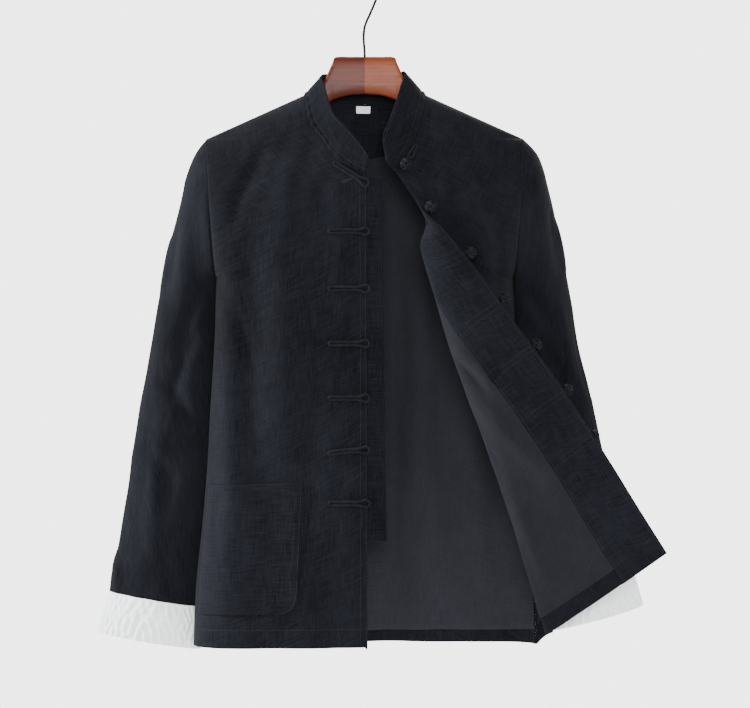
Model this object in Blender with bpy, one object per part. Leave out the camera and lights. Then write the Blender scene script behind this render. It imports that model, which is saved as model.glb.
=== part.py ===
"""Tang jacket on a wooden hanger.

The jacket hangs open: the wearer's right front falls straight, the left front is rolled over
like a lapel, so that its lining, facing and turned hem show.  The origin is the inside top of
the hanger's hook; +X is the viewer's right, -Y is the jacket's front, +Z is up.
"""
import functools
import math

import bmesh
import bpy
import numpy as np
from mathutils import Vector

# ---- driving dimensions, metres -------------------------------------------------------------
CLOTH = 0.0015          # main cloth, seam to seam
LINING = 0.0010         # lining and facings
GAP = 0.0003            # left between two pieces that meet

SHOULDER_SLOPE = 0.45   # drop per metre of shoulder
NECK_SIDE_X = 0.0804    # where the shoulder seam meets the collar
NECK_SIDE_Z = -0.154
TIP_X = 0.2085          # shoulder tip, top of the armhole
TIP_Z = NECK_SIDE_Z - SHOULDER_SLOPE * (TIP_X - NECK_SIDE_X)
UNDERARM_X = 0.1970
UNDERARM_Z = -0.395
HEM_Z = -0.878
EDGE_X = 0.0036         # right front's edge, just past the middle
ARMHOLE_FRONT = 0.042   # half depths of the armhole
ARMHOLE_BACK = 0.030

NECK_SHARE = 0.3        # share of the back's top line that one shoulder takes
NECK_ROW = 0.28         # share of a front's height where the neckline meets the front edge
UNDERARM_ROW = 0.42     # share of the side where the armhole ends
FACING_WIDTH = 0.068

CORD_RADIUS = 0.0019
CORD_PITCH = 0.0042     # between the two strands of a doubled cord
KNOT_RADIUS = 0.0080
LOOP_LENGTH = 0.052
LOOP_HEIGHTS = (-0.3370, -0.4110, -0.4820, -0.5525, -0.6195, -0.6885)
KNOTS = (
    # down the left edge from the neck, past the edge, tail (0 has none)
    (0.063, 0.0100, 0.0),
    (0.142, 0.0080, 0.033),
    (0.218, 0.0078, 0.045),
    (0.290, 0.0058, 0.045),
    (0.357, 0.0042, 0.045),
    (0.422, 0.0008, 0.045),
)
KNOT_EYE = 0.0032
EDGE_LEAN = math.radians(35.4)      # of the rolled front edge, from upright
LEFT_EDGE_LENGTH = 0.603

WIRE_RADIUS = 0.00165
HOOK_RADIUS = 0.018
WOOD_TOP_Z = -0.1034
WOOD_MIDDLE_X = -0.0003

# half width of the body down the side seam
BODY_SIDE = np.array([
    # z,       half width
    (-0.3950, 0.1970),
    (-0.4756, 0.1988),
    (-0.5588, 0.2040),
    (-0.6433, 0.2085),
    (-0.7200, 0.2150),
    (-0.8000, 0.2230),
    (-0.8780, 0.2262),
])

# neckline seam, from the neck's side down to the front's end
NECK_RIGHT = np.array([
    # x,       z
    (-0.0804, -0.1540),
    (-0.0770, -0.1737),
    (-0.0714, -0.1961),
    (-0.0556, -0.2176),
    (-0.0412, -0.2390),
    (-0.0178, -0.2570),
    (0.0020, -0.2620),
])
NECK_LEFT = np.array([
    # x,      z
    (0.0804, -0.1540),
    (0.0765, -0.1760),
    (0.0718, -0.1970),
    (0.0672, -0.2130),
    (0.0612, -0.2284),
    (0.0507, -0.2459),
    (0.0403, -0.2603),
])
NECK_BACK = np.array([
    # x,       z
    (-0.0804, -0.1540),
    (-0.0600, -0.1590),
    (-0.0300, -0.1627),
    (0.0000, -0.1640),
    (0.0300, -0.1627),
    (0.0600, -0.1590),
    (0.0804, -0.1540),
])

# top edge of the collar, a row for each section; "at" is the share of the seam's three runs
COLLAR_TOP = np.array([
    # at,   x,       y,       z
    (0.00, 0.0045, -0.0655, -0.2400),
    (0.14, -0.0075, -0.0620, -0.2210),
    (0.32, -0.0257, -0.0560, -0.1997),
    (0.52, -0.0400, -0.0470, -0.1840),
    (0.72, -0.0480, -0.0360, -0.1640),
    (0.88, -0.0535, -0.0210, -0.1430),
    (1.00, -0.0580, -0.0030, -0.1277),
    (1.22, -0.0440, 0.0170, -0.1250),
    (1.50, 0.0000, 0.0250, -0.1275),
    (1.78, 0.0410, 0.0170, -0.1230),
    (2.00, 0.0527, -0.0030, -0.1238),
    (2.20, 0.0470, -0.0240, -0.1450),
    (2.42, 0.0395, -0.0400, -0.1700),
    (2.64, 0.0310, -0.0520, -0.1950),
    (2.84, 0.0240, -0.0605, -0.2150),
    (3.00, 0.0290, -0.0670, -0.2460),
])

# the rolled left front: its edge, and the outermost line of the roll with its radius
ROLLED = np.array([
    # row,  edge x, y,      z,       turn x, y,       z,       radius
    (0.280, 0.0403, -0.0665, -0.2603, 0.0440, -0.0640, -0.2650, 0.0030),
    (0.355, 0.0770, -0.0850, -0.3116, 0.0745, -0.0760, -0.3200, 0.0070),
    (0.415, 0.1105, -0.0940, -0.3489, 0.0745, -0.0810, -0.3600, 0.0130),
    (0.482, 0.1462, -0.0960, -0.3918, 0.0940, -0.0810, -0.4265, 0.0140),
    (0.551, 0.1799, -0.0940, -0.4391, 0.1115, -0.0800, -0.4870, 0.0140),
    (0.693, 0.2502, -0.0850, -0.5351, 0.1540, -0.0740, -0.6020, 0.0130),
    (0.830, 0.3137, -0.0760, -0.6315, 0.1940, -0.0600, -0.7146, 0.0110),
    (0.915, 0.3517, -0.0710, -0.6923, 0.2160, -0.0480, -0.7864, 0.0080),
    (1.000, 0.3900, -0.0670, -0.7522, 0.2400, -0.0340, -0.8590, 0.0050),
])
ROLL_ROW = 0.415        # from here down the roll is complete

# sleeve: outer and inner line, half depths in front of and behind its middle plane
SLEEVE_RIGHT = np.array([
    # outer x, z,       inner x, z,      front,  back
    (TIP_X, TIP_Z, UNDERARM_X, UNDERARM_Z, ARMHOLE_FRONT, ARMHOLE_BACK),
    (0.2290, -0.2400, 0.1990, -0.4130, 0.0420, 0.0300),
    (0.2455, -0.2920, 0.1987, -0.4420, 0.0415, 0.0300),
    (0.2640, -0.3714, 0.1978, -0.5000, 0.0405, 0.0300),
    (0.2785, -0.4506, 0.1998, -0.5700, 0.0390, 0.0290),
    (0.2930, -0.5298, 0.2034, -0.6350, 0.0370, 0.0280),
    (0.3062, -0.6090, 0.2080, -0.6950, 0.0350, 0.0270),
    (0.3221, -0.7146, 0.2145, -0.7650, 0.0320, 0.0260),
    (0.3392, -0.8096, 0.2200, -0.8300, 0.0300, 0.0250),
])
SLEEVE_LEFT = np.array([
    # outer x, z,       inner x, z,      front,  back
    (TIP_X, TIP_Z, UNDERARM_X, UNDERARM_Z, ARMHOLE_FRONT, ARMHOLE_BACK),
    (0.2297, -0.2360, 0.1990, -0.4130, 0.0420, 0.0300),
    (0.2482, -0.2922, 0.1987, -0.4420, 0.0415, 0.0300),
    (0.2669, -0.3850, 0.1978, -0.5000, 0.0405, 0.0300),
    (0.2820, -0.4640, 0.2010, -0.5650, 0.0390, 0.0290),
    (0.2980, -0.5380, 0.2075, -0.6250, 0.0370, 0.0280),
    (0.3128, -0.6090, 0.2170, -0.6850, 0.0350, 0.0270),
    (0.3330, -0.7000, 0.2310, -0.7480, 0.0320, 0.0260),
    (0.3510, -0.7760, 0.2430, -0.8060, 0.0300, 0.0250),
])
CUFF_LENGTH = 0.055
CUFF_FLARE = 0.0045
SLEEVE_BEHIND = 0.024   # how far a sleeve hangs behind the side seam's plane

# hanger, from its middle to the end of an arm
WOOD_SECTIONS = np.array([
    # x,     top z,   bottom z, half thickness
    (0.0000, -0.1034, -0.1523, 0.0075),
    (0.0200, -0.1034, -0.1540, 0.0075),
    (0.0385, -0.1040, -0.1590, 0.0078),
    (0.0430, -0.1120, -0.1615, 0.0080),
    (0.0530, -0.1340, -0.1700, 0.0088),
    (0.0620, -0.1500, -0.1780, 0.0096),
    (0.0850, -0.1635, -0.1920, 0.0098),
    (0.1250, -0.1820, -0.2110, 0.0098),
    (0.1650, -0.2010, -0.2280, 0.0096),
    (0.1900, -0.2140, -0.2360, 0.0085),
    (0.1960, -0.2190, -0.2320, 0.0050),
])

CLOTH_BLACK = (0.010, 0.011, 0.014)
LINING_GREY = (0.030, 0.028, 0.034)
LINEN_WHITE = (0.80, 0.80, 0.79)
CORD_BLACK = (0.012, 0.013, 0.017)
WOOD_DARK = (0.16, 0.045, 0.020)
WOOD_LIGHT = (0.26, 0.085, 0.035)
STEEL_DARK = (0.05, 0.05, 0.055)
LABEL_WHITE = (0.75, 0.74, 0.70)


# ---- small mathematics ----------------------------------------------------------------------
def ease(t):
    """Smooth step from 0 to 1."""
    t = min(max(t, 0.0), 1.0)
    return t * t * (3.0 - 2.0 * t)


def along(rows, t):
    """Catmull-Rom curve through the rows, t counted in rows."""
    rows = np.asarray(rows, dtype=float)
    last = len(rows) - 1
    t = min(max(t, 0.0), float(last))
    i = min(int(t), last - 1)
    f = t - i
    p1, p2 = rows[i], rows[i + 1]
    p0 = rows[i - 1] if i > 0 else 2.0 * p1 - p2
    p3 = rows[i + 2] if i + 2 <= last else 2.0 * p2 - p1
    a = 2.0 * p1
    b = p2 - p0
    c = 2.0 * p0 - 5.0 * p1 + 4.0 * p2 - p3
    d = 3.0 * p1 - p0 - 3.0 * p2 + p3
    return 0.5 * (a + b * f + c * f * f + d * f * f * f)


def along_share(rows, share):
    """The same curve, share 0 at its first row and 1 at its last."""
    return along(rows, share * (len(rows) - 1))


def at_key(table, key):
    """Row of a table at a value of its first column, by the curve through its rows."""
    keys = table[:, 0]
    order = keys if keys[0] < keys[-1] else -keys
    wanted = key if keys[0] < keys[-1] else -key
    t = np.interp(wanted, order, np.arange(len(keys)))
    return along(table[:, 1:], t)


def unit(v):
    return v / max(np.linalg.norm(v), 1e-12)


def measured(points):
    """A polyline's points with the length up to each of them."""
    points = np.asarray(points)
    steps = np.linalg.norm(np.diff(points, axis=0), axis=1)
    return points, np.concatenate([[0.0], np.cumsum(steps)])


def at_share(line, share):
    """Point on a measured polyline at a share of its length."""
    points, length = line
    target = share * length[-1]
    return np.array([np.interp(target, length, points[:, k]) for k in range(3)])


# ---- the body's form ------------------------------------------------------------------------
def shoulder_z(x):
    """Height of the shoulder line, carried on to the middle."""
    return NECK_SIDE_Z - SHOULDER_SLOPE * (abs(x) - NECK_SIDE_X)


def body_width(z):
    """Half width at a height: the straight armhole line, then the side seam."""
    if z >= UNDERARM_Z:
        return UNDERARM_X + (TIP_X - UNDERARM_X) * (z - UNDERARM_Z) / (TIP_Z - UNDERARM_Z)
    return at_key(BODY_SIDE, max(z, BODY_SIDE[-1, 0]))[0]


def armhole_depth(z, half_depth):
    """Half depth of the armhole ring at a height, 0 at its top and under the arm."""
    middle = 0.5 * (TIP_Z + UNDERARM_Z)
    reach = 0.5 * (TIP_Z - UNDERARM_Z)
    return half_depth * math.sqrt(max(0.0, 1.0 - ((z - middle) / reach) ** 2))


def body_depth(x, z, near, full, roll, armhole):
    """How far the body stands from the middle plane: over the shoulder, across, to the side."""
    below = max(0.0, shoulder_z(x) - z)
    over = math.sqrt(1.0 - (1.0 - min(below / roll, 1.0)) ** 2)
    depth = (near + (full - near) * ease(below / 0.16)) * over
    rim = armhole_depth(z, armhole)
    across = min(abs(x) / body_width(z), 1.0)
    return rim + (depth - rim) * math.sqrt(1.0 - across ** 6)


def front_drape(x, z):
    """Soft upright folds, deeper towards the hem."""
    low = ease((-0.34 - z) / 0.45)
    inside = 1.0 - min(abs(x) / body_width(z), 1.0) ** 4
    return low * inside * (0.0030 * math.sin(41.0 * x + 0.7) + 0.0016 * math.sin(83.0 * x - 1.1))


def back_drape(x, z):
    low = ease((-0.30 - z) / 0.45)
    inside = 1.0 - min(abs(x) / body_width(z), 1.0) ** 4
    wave = 0.0045 * math.sin(36.0 * x + 0.4) + 0.0025 * math.sin(71.0 * x - 0.9)
    return low * inside * wave


def front_y(x, z):
    return -body_depth(x, z, 0.036, 0.067, 0.045, ARMHOLE_FRONT) + front_drape(x, z)


def back_y(x, z):
    return body_depth(x, z, 0.021, 0.030, 0.030, ARMHOLE_BACK) + back_drape(x, z)


def side_point(row):
    """(x, z) on the armhole, then on the side seam, row 0 at the shoulder and 1 at the hem."""
    if row < UNDERARM_ROW:
        z = TIP_Z + (UNDERARM_Z - TIP_Z) * row / UNDERARM_ROW
    else:
        z = UNDERARM_Z + (HEM_Z - UNDERARM_Z) * (row - UNDERARM_ROW) / (1.0 - UNDERARM_ROW)
    return np.array([body_width(z), z])


# ---- panels as surfaces: (across, row) -> point ---------------------------------------------
def on_front(start, side, across):
    """Point of a front between a start and a side point, (x, z) each."""
    first = start[0] / body_width(start[1])
    z = start[1] + (side[1] - start[1]) * across
    x = (first + (math.copysign(1.0, side[0]) - first) * across) * body_width(z)
    drop_start = shoulder_z(start[0]) - start[1]
    drop_side = shoulder_z(side[0]) - side[1]
    z = shoulder_z(x) - drop_start - (drop_side - drop_start) * across
    return np.array([x, front_y(x, z), z])


def right_front(across, row):
    """Wearer's right front: across 0 at the neckline or edge, 1 at the armhole or side."""
    if row < NECK_ROW:
        start = along_share(NECK_RIGHT, row / NECK_ROW)
    else:
        down = (row - NECK_ROW) / (1.0 - NECK_ROW)
        end_z = NECK_RIGHT[-1, 1]
        start = np.array([NECK_RIGHT[-1, 0] + (EDGE_X - NECK_RIGHT[-1, 0]) * down,
                          end_z + (HEM_Z - end_z) * down])
    return on_front(start, side_point(row) * (-1.0, 1.0), across)


def left_flat_row(across, row):
    """Wearer's left front as it would hang, from its neckline or rolled edge to the side."""
    if row < NECK_ROW:
        start = along_share(NECK_LEFT, row / NECK_ROW)
    else:
        edge = at_key(ROLLED, row)[0:3]
        start = np.array([min(edge[0], side_point(row)[0] - 0.03), edge[2]])
    return on_front(start, side_point(row), across)


def rolled_row(row):
    """Control points of a rolled row: edge, flap, turn, under part, side."""
    edge_x, edge_y, edge_z, turn_x, turn_y, turn_z, radius = at_key(ROLLED, row)
    edge = np.array([edge_x, edge_y, edge_z])
    turn = np.array([turn_x, turn_y, turn_z])
    reach = np.linalg.norm(edge - turn)
    whole = ease((reach / radius - 1.0) / 2.0)
    flap = turn + np.array([0.8 * radius, -radius, 0.5 * radius])
    flap = 0.5 * (edge + turn) * (1.0 - whole) + flap * whole
    swell = np.array([0.0, -0.006 * whole, 0.0])
    middle = 0.5 * (edge + flap) + swell
    side = side_point(row)
    side = np.array([side[0], 0.0, side[1]])
    side[1] = front_y(side[0], side[2])
    under = turn + np.array([1.3 * radius, 1.1 * radius, 0.0])
    points = [edge, middle, flap, turn, under]
    for share in (0.35, 0.7, 0.9):
        at = under + (side - under) * share
        blend = min(1.0, 2.0 * share)
        hang = min(front_y(at[0], at[2]), 0.0)
        at[1] = at[1] * (1.0 - blend) + max(hang, under[1]) * blend
        points.append(at)
    points.append(side)
    return np.array(points)


@functools.lru_cache(maxsize=None)
def rolled_curve(row):
    controls = rolled_row(row)
    return measured([along_share(controls, s) for s in np.linspace(0.0, 1.0, 65)])


def left_front(across, row):
    """Wearer's left front, across 0 at the neckline or edge, 1 at the armhole or side."""
    flat = left_flat_row(across, row)
    rolled = ease((row - NECK_ROW) / (ROLL_ROW - NECK_ROW))
    if rolled == 0.0:
        return flat
    return flat * (1.0 - rolled) + at_share(rolled_curve(row), across) * rolled


@functools.lru_cache(maxsize=None)
def left_row_length(row):
    points = [left_front(a, row) for a in np.linspace(0.0, 1.0, 25)]
    return float(measured(points)[1][-1])


def back_panel(across, row):
    """The back, across 0 at the viewer's left side and 1 at the right."""
    x_top, z_top = shoulder_and_neck(across)
    centred = 2.0 * across - 1.0
    side_shift = side_point(row)[1] - TIP_Z - (HEM_Z - TIP_Z) * row
    z = z_top + (HEM_Z - z_top) * row + side_shift * abs(centred) ** 8
    first = x_top / body_width(z_top)
    x = (first + (centred - first) * row) * body_width(z)
    return np.array([x, back_y(x, z), z])


def shoulder_and_neck(across):
    """(x, z) of the back's top line: shoulder, neckline, shoulder."""
    if across < NECK_SHARE:
        share = across / NECK_SHARE
        left = np.array([-TIP_X, TIP_Z])
        return left + (NECK_BACK[0] - left) * share
    if across > 1.0 - NECK_SHARE:
        share = (across - 1.0 + NECK_SHARE) / NECK_SHARE
        right = np.array([TIP_X, TIP_Z])
        return NECK_BACK[-1] + (right - NECK_BACK[-1]) * share
    return along_share(NECK_BACK, (across - NECK_SHARE) / (1.0 - 2.0 * NECK_SHARE))


def sleeve_surface(table, side, around, down):
    """Sleeve ring: around 0 at the outer line, going over the front; down 0 at the armhole."""
    outer_x, outer_z, inner_x, inner_z, front, back = along_share(table, down)
    outer = np.array([outer_x * side, 0.0, outer_z])
    inner = np.array([inner_x * side, 0.0, inner_z])
    angle = 2.0 * math.pi * around
    middle = 0.5 * (outer + inner)
    depth = front if math.sin(angle) >= 0.0 else back
    point = middle + 0.5 * (outer - inner) * math.cos(angle)
    point[1] += SLEEVE_BEHIND * ease(down / 0.38) - depth * math.sin(angle)
    return point


# ---- making solids --------------------------------------------------------------------------
def material(name, colour, roughness, metallic=0.0):
    made = bpy.data.materials.new(name)
    made.use_nodes = True
    shader = made.node_tree.nodes["Principled BSDF"]
    shader.inputs["Base Color"].default_value = (*colour, 1.0)
    shader.inputs["Roughness"].default_value = roughness
    shader.inputs["Metallic"].default_value = metallic
    return made


def add_object(name, mesh, finish):
    made = bpy.data.objects.new(name, mesh)
    jacket.objects.link(made)
    if not mesh.materials:
        mesh.materials.append(finish)
    return made


def inward_normal(surface, u, v, side):
    """Unit normal of a surface by differences, turned by side (+1 or -1)."""
    step = 0.002
    u0, u1 = max(u - step, 0.0), min(u + step, 1.0)
    v0, v1 = max(v - step, 0.0), min(v + step, 1.0)
    du = surface(u1, v) - surface(u0, v)
    dv = surface(u, v1) - surface(u, v0)
    return unit(np.cross(du, dv)) * side


def wall(name, surface, us, vs, side, start, thickness, finish, seam=None, ring=False):
    """A closed wall on a surface: from start to start + thickness along its inward normal.

    seam(u, v) gives two lists of unit normals, pointing into the piece: the seam planes that a
    point lies on, from which it stands off half a gap, and those that hold the wall's rim.
    """
    body = bmesh.new()
    skins = ([], [])
    for v in vs:
        rows = ([], [])
        for u in us:
            point = surface(u, v)
            inward = inward_normal(surface, u, v, side)
            shifts, flat_in = seam(u, v) if seam else ((), ())
            for plane in flat_in:
                inward = unit(inward - plane * float(np.dot(inward, plane)))
            for plane in shifts:
                point = point + plane * (0.5 * GAP)
            rows[0].append(body.verts.new(point + inward * start))
            rows[1].append(body.verts.new(point + inward * (start + thickness)))
        skins[0].append(rows[0])
        skins[1].append(rows[1])
    columns = len(us)
    spans = range(columns) if ring else range(columns - 1)
    for skin in skins:
        for i in range(len(vs) - 1):
            for j in spans:
                k = (j + 1) % columns
                body.faces.new((skin[i][j], skin[i][k], skin[i + 1][k]))
                body.faces.new((skin[i][j], skin[i + 1][k], skin[i + 1][j]))
    for i in (0, len(vs) - 1):
        for j in spans:
            k = (j + 1) % columns
            body.faces.new((skins[0][i][j], skins[0][i][k], skins[1][i][k], skins[1][i][j]))
    if not ring:
        for j in (0, columns - 1):
            for i in range(len(vs) - 1):
                body.faces.new((skins[0][i][j], skins[0][i + 1][j],
                                skins[1][i + 1][j], skins[1][i][j]))
    bmesh.ops.recalc_face_normals(body, faces=body.faces)
    if body.calc_volume(signed=True) < 0.0:
        bmesh.ops.reverse_faces(body, faces=body.faces)
    mesh = bpy.data.meshes.new(name)
    body.to_mesh(mesh)
    body.free()
    mesh.shade_smooth()
    return add_object(name, mesh, finish)


def cord_curve(name, points, cyclic, radius, finish, sides=1):
    curve = bpy.data.curves.new(name, "CURVE")
    curve.dimensions = "3D"
    curve.bevel_depth = radius
    curve.bevel_resolution = sides
    curve.use_fill_caps = True
    spline = curve.splines.new("POLY")
    spline.points.add(len(points) - 1)
    for place, point in zip(spline.points, points):
        place.co = (*point, 1.0)
    spline.use_cyclic_u = cyclic
    curve.materials.append(finish)
    made = bpy.data.objects.new(name, curve)
    jacket.objects.link(made)
    return made


def as_mesh(curved):
    """The curve object's mesh, its caps welded, in place of the curve."""
    bpy.context.view_layer.update()
    evaluated = curved.evaluated_get(bpy.context.evaluated_depsgraph_get())
    mesh = bpy.data.meshes.new_from_object(evaluated)
    name = curved.name
    bpy.data.objects.remove(curved)
    body = bmesh.new()
    body.from_mesh(mesh)
    bmesh.ops.remove_doubles(body, verts=body.verts, dist=1e-6)
    body.to_mesh(mesh)
    body.free()
    made = bpy.data.objects.new(name, mesh)
    made.name = name
    jacket.objects.link(made)
    return made


# ---- seam planes ----------------------------------------------------------------------------
FORWARD = np.array([0.0, -1.0, 0.0])
BACKWARD = np.array([0.0, 1.0, 0.0])


def armhole_plane(side):
    """Normal of the armhole's plane, pointing to the body's middle; side -1 is the viewer's left."""
    rise = np.array([(TIP_X - UNDERARM_X) * side, 0.0, TIP_Z - UNDERARM_Z])
    return unit(np.array([-rise[2] * side, 0.0, rise[0] * side]))


def panel_planes(side, facing, at_side, on_shoulder, row):
    """Seam planes at a panel's point; under the arm the rim keeps to the side seam's plane."""
    armhole = armhole_plane(side)
    shifts, holds = [], []
    if at_side and row <= UNDERARM_ROW:
        shifts.append(armhole)
        if row < UNDERARM_ROW:
            holds.append(armhole)
    if on_shoulder or (at_side and row >= UNDERARM_ROW):
        shifts.append(facing)
        holds.append(facing)
    return shifts, holds


def front_seams(side):
    def planes(across, row):
        return panel_planes(side, FORWARD, across >= 1.0, row <= 0.0, row)
    return planes


def back_seams(across, row):
    side = -1.0 if across < 0.5 else 1.0
    on_shoulder = row <= 0.0 and not NECK_SHARE < across < 1.0 - NECK_SHARE
    row = UNDERARM_ROW if abs(row - UNDERARM_ROW) < 1e-4 else row
    return panel_planes(side, BACKWARD, across <= 0.0 or across >= 1.0, on_shoulder, row)


# ---- the pieces -----------------------------------------------------------------------------
FRONT_ACROSS = (0.0, 0.04, 0.08, 0.13, 0.18, 0.24, 0.31, 0.394, 0.5, 0.61, 0.72, 0.82, 0.9,
                0.965, 0.99, 1.0)
PANEL_ROWS = (0.0, 0.012, 0.03, 0.06, 0.11, 0.17, 0.225, 0.28, 0.2867, 0.35, 0.42, 0.52, 0.64,
              0.747, 0.8357, 0.9475, 1.0)
PLACKET_ROWS = (0.2867, 0.35, 0.42, 0.52, 0.64, 0.747, 0.8357)
PLACKET_EDGE = 0.7      # share of the placket's width that shows past the front's edge
PLACKET_ACROSS = (0.0, 0.35, PLACKET_EDGE, 0.85, 1.0)
POCKET_ACROSS = (0.394, 0.5, 0.61, 0.72, 0.82, 0.9, 0.965)
POCKET_ROWS = (0.747, 0.8357, 0.9475)
NECK_FACING_ROW = 0.12
BACK_ACROSS = (0.0, 0.004, 0.015, 0.04, 0.09, 0.17, 0.25, 0.30, 0.34, 0.39, 0.44, 0.474,
               0.5155, 0.56, 0.61, 0.66, 0.70, 0.75, 0.83, 0.91, 0.96, 0.985, 0.996, 1.0)
BACK_ROWS = (0.0, 0.0045, 0.02, 0.06, 0.12, 0.132, 0.155, 0.19, 0.26, 0.36, 0.4834, 0.62, 0.75,
             0.87, 0.9795, 1.0)


def make_right_front():
    wall("front_right", right_front, FRONT_ACROSS, PANEL_ROWS, -1.0, 0.0, CLOTH, black,
         seam=front_seams(-1.0))

    def placket(share, row):
        if share >= PLACKET_EDGE:
            across = 0.08 * (share - PLACKET_EDGE) / (1.0 - PLACKET_EDGE)
            return right_front(across, row)
        edge = right_front(0.0, row)
        width = 0.0200 + 0.0048 * (row - NECK_ROW) / (PLACKET_ROWS[-1] - NECK_ROW)
        x = edge[0] + (1.0 - share / PLACKET_EDGE) * width
        return np.array([x, front_y(x, edge[2]), edge[2]])

    wall("placket", placket, PLACKET_ACROSS, PLACKET_ROWS, -1.0, CLOTH + GAP, CLOTH, black)

    def pocket(across, row):
        at_corner = across == POCKET_ACROSS[0] and row == POCKET_ROWS[-1]
        return right_front(across + (0.03 if at_corner else 0.0), row)

    wall("pocket", pocket, POCKET_ACROSS, POCKET_ROWS, -1.0, -GAP - CLOTH, CLOTH, black)


def facing_depth(across):
    """Row where the half-moon neck facing ends, below each place of the back's top line."""
    return 0.012 + 0.088 * math.sqrt(max(0.0, 1.0 - ((across - 0.5) / 0.2) ** 2))


def facing_warp(across, row):
    """Row of the back, spaced so that NECK_FACING_ROW runs along the facing's lower edge."""
    moon = facing_depth(across)
    if row <= NECK_FACING_ROW:
        return row / NECK_FACING_ROW * moon
    return moon + (row - NECK_FACING_ROW) / (1.0 - NECK_FACING_ROW) * (1.0 - moon)


def back_warped(across, row):
    return back_panel(across, facing_warp(across, row))


def make_back():
    def seams(across, row):
        return back_seams(across, facing_warp(across, row))

    wall("back", back_warped, BACK_ACROSS, BACK_ROWS, -1.0, 0.0, CLOTH, black, seam=seams)
    inside = CLOTH + GAP
    wall("back_neck_facing", back_warped, BACK_ACROSS[8:16],
         BACK_ROWS[1:4] + (NECK_FACING_ROW - 0.0015,), -1.0, inside, LINING, black)
    wall("back_lining", back_warped, BACK_ACROSS, BACK_ROWS[4:-1], -1.0, inside, LINING, grey,
         seam=seams)
    wall("label", back_warped, BACK_ACROSS[11:13], BACK_ROWS[1:3], -1.0,
         inside + LINING + GAP, 0.0006, white)


FACING_SHARE = 0.3
LEFT_ACROSS = (0.0, 0.1, 0.2, 0.3, 0.36, 0.42, 0.48, 0.54, 0.6, 0.66, 0.72, 0.79, 0.86,
               0.93, 0.975, 1.0)
LEFT_ROWS = (0.0, 0.012, 0.03, 0.06, 0.11, 0.17, 0.225, 0.28, 0.31, 0.345, 0.38, 0.415,
             0.45, 0.49, 0.55, 0.62, 0.69, 0.76, 0.83, 0.90, 0.9735, 1.0)


def left_warped(across, row):
    """The left front, spaced so that FACING_SHARE runs along the facing's inner seam."""
    facing = FACING_WIDTH / left_row_length(row)
    if across <= FACING_SHARE:
        return left_front(across / FACING_SHARE * facing, row)
    rest = (across - FACING_SHARE) / (1.0 - FACING_SHARE)
    return left_front(facing + rest * (1.0 - facing), row)


def make_left_front():
    wall("front_left", left_warped, LEFT_ACROSS, LEFT_ROWS, 1.0, 0.0, CLOTH, black,
         seam=front_seams(1.0))
    half_gap = 0.0008
    wall("front_left_facing", left_warped, (0.0, 0.1, 0.2, FACING_SHARE - half_gap),
         LEFT_ROWS[8:], 1.0, CLOTH + GAP, LINING, black)
    wall("front_left_lining", left_warped, (FACING_SHARE + half_gap,) + LEFT_ACROSS[4:-1],
         LEFT_ROWS[8:-1], 1.0, CLOTH + GAP, LINING, grey)


def collar_seam(run):
    if run <= 1.0:
        x, z = along_share(NECK_RIGHT, 1.0 - run)
        return np.array([x, front_y(x, z), z])
    if run <= 2.0:
        x, z = along_share(NECK_BACK, run - 1.0)
        return np.array([x, back_y(x, z), z])
    x, z = along_share(NECK_LEFT, run - 2.0)
    return np.array([x, front_y(x, z), z])


def make_collar():
    def band(across, up):
        run = 3.0 * across
        seam = collar_seam(run)
        top = at_key(COLLAR_TOP, run)
        clear = 0.0022 / np.linalg.norm(top - seam)
        return seam + (top - seam) * (clear + (1.0 - clear) * up)

    wall("collar", band, np.linspace(0.0, 1.0, 37), (0.0, 0.5, 1.0), 1.0, 0.0, 0.0022, black)


def make_sleeves():
    around = np.linspace(0.0, 1.0, 21)[:-1]
    for name, table, side in (("right", SLEEVE_RIGHT, -1.0), ("left", SLEEVE_LEFT, 1.0)):
        def tube(turn, down):
            return sleeve_surface(table, side, turn % 1.0, down)

        def cap_plane(turn, down):
            planes = [-armhole_plane(side)] if down <= 0.0 else []
            return planes, planes

        def cuff(turn, down):
            end = tube(turn, 1.0)
            before = tube(turn, 0.98)
            middle = 0.5 * (tube(0.0, 1.0) + tube(0.5, 1.0))
            fall = unit(end - before)
            spread = CUFF_FLARE * ease(down * 3.0) * (0.7 + 0.5 * down)
            return end + fall * (0.0004 + CUFF_LENGTH * down) + unit(end - middle) * spread

        wall("sleeve_" + name, tube, around, np.linspace(0.0, 1.0, 12), -side, 0.0, CLOTH, black,
             seam=cap_plane, ring=True)
        wall("cuff_" + name, cuff, around, (0.0, 0.12, 0.3, 0.6, 1.0), -side, 0.0, CLOTH, linen,
             ring=True)


def hairpin(length, eye, strands=CORD_PITCH):
    """Flat outline of a doubled cord, (along, beside), with an eye of half width eye at its end."""
    half = 0.5 * strands
    eye_start = length - 3.2 * eye
    points = [(0.0, -half * 0.6), (half * 0.9, -half)]
    points += [(s, -half) for s in np.linspace(0.008, eye_start, 4)]
    centre = length - eye
    for angle in np.linspace(-110.0, 110.0, 9):
        turn = math.radians(angle)
        points.append((centre + eye * math.cos(turn), eye * math.sin(turn)))
    points += [(s, half) for s in np.linspace(eye_start, 0.008, 4)]
    points += [(half * 0.9, half), (0.0, half * 0.6)]
    return points


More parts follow.
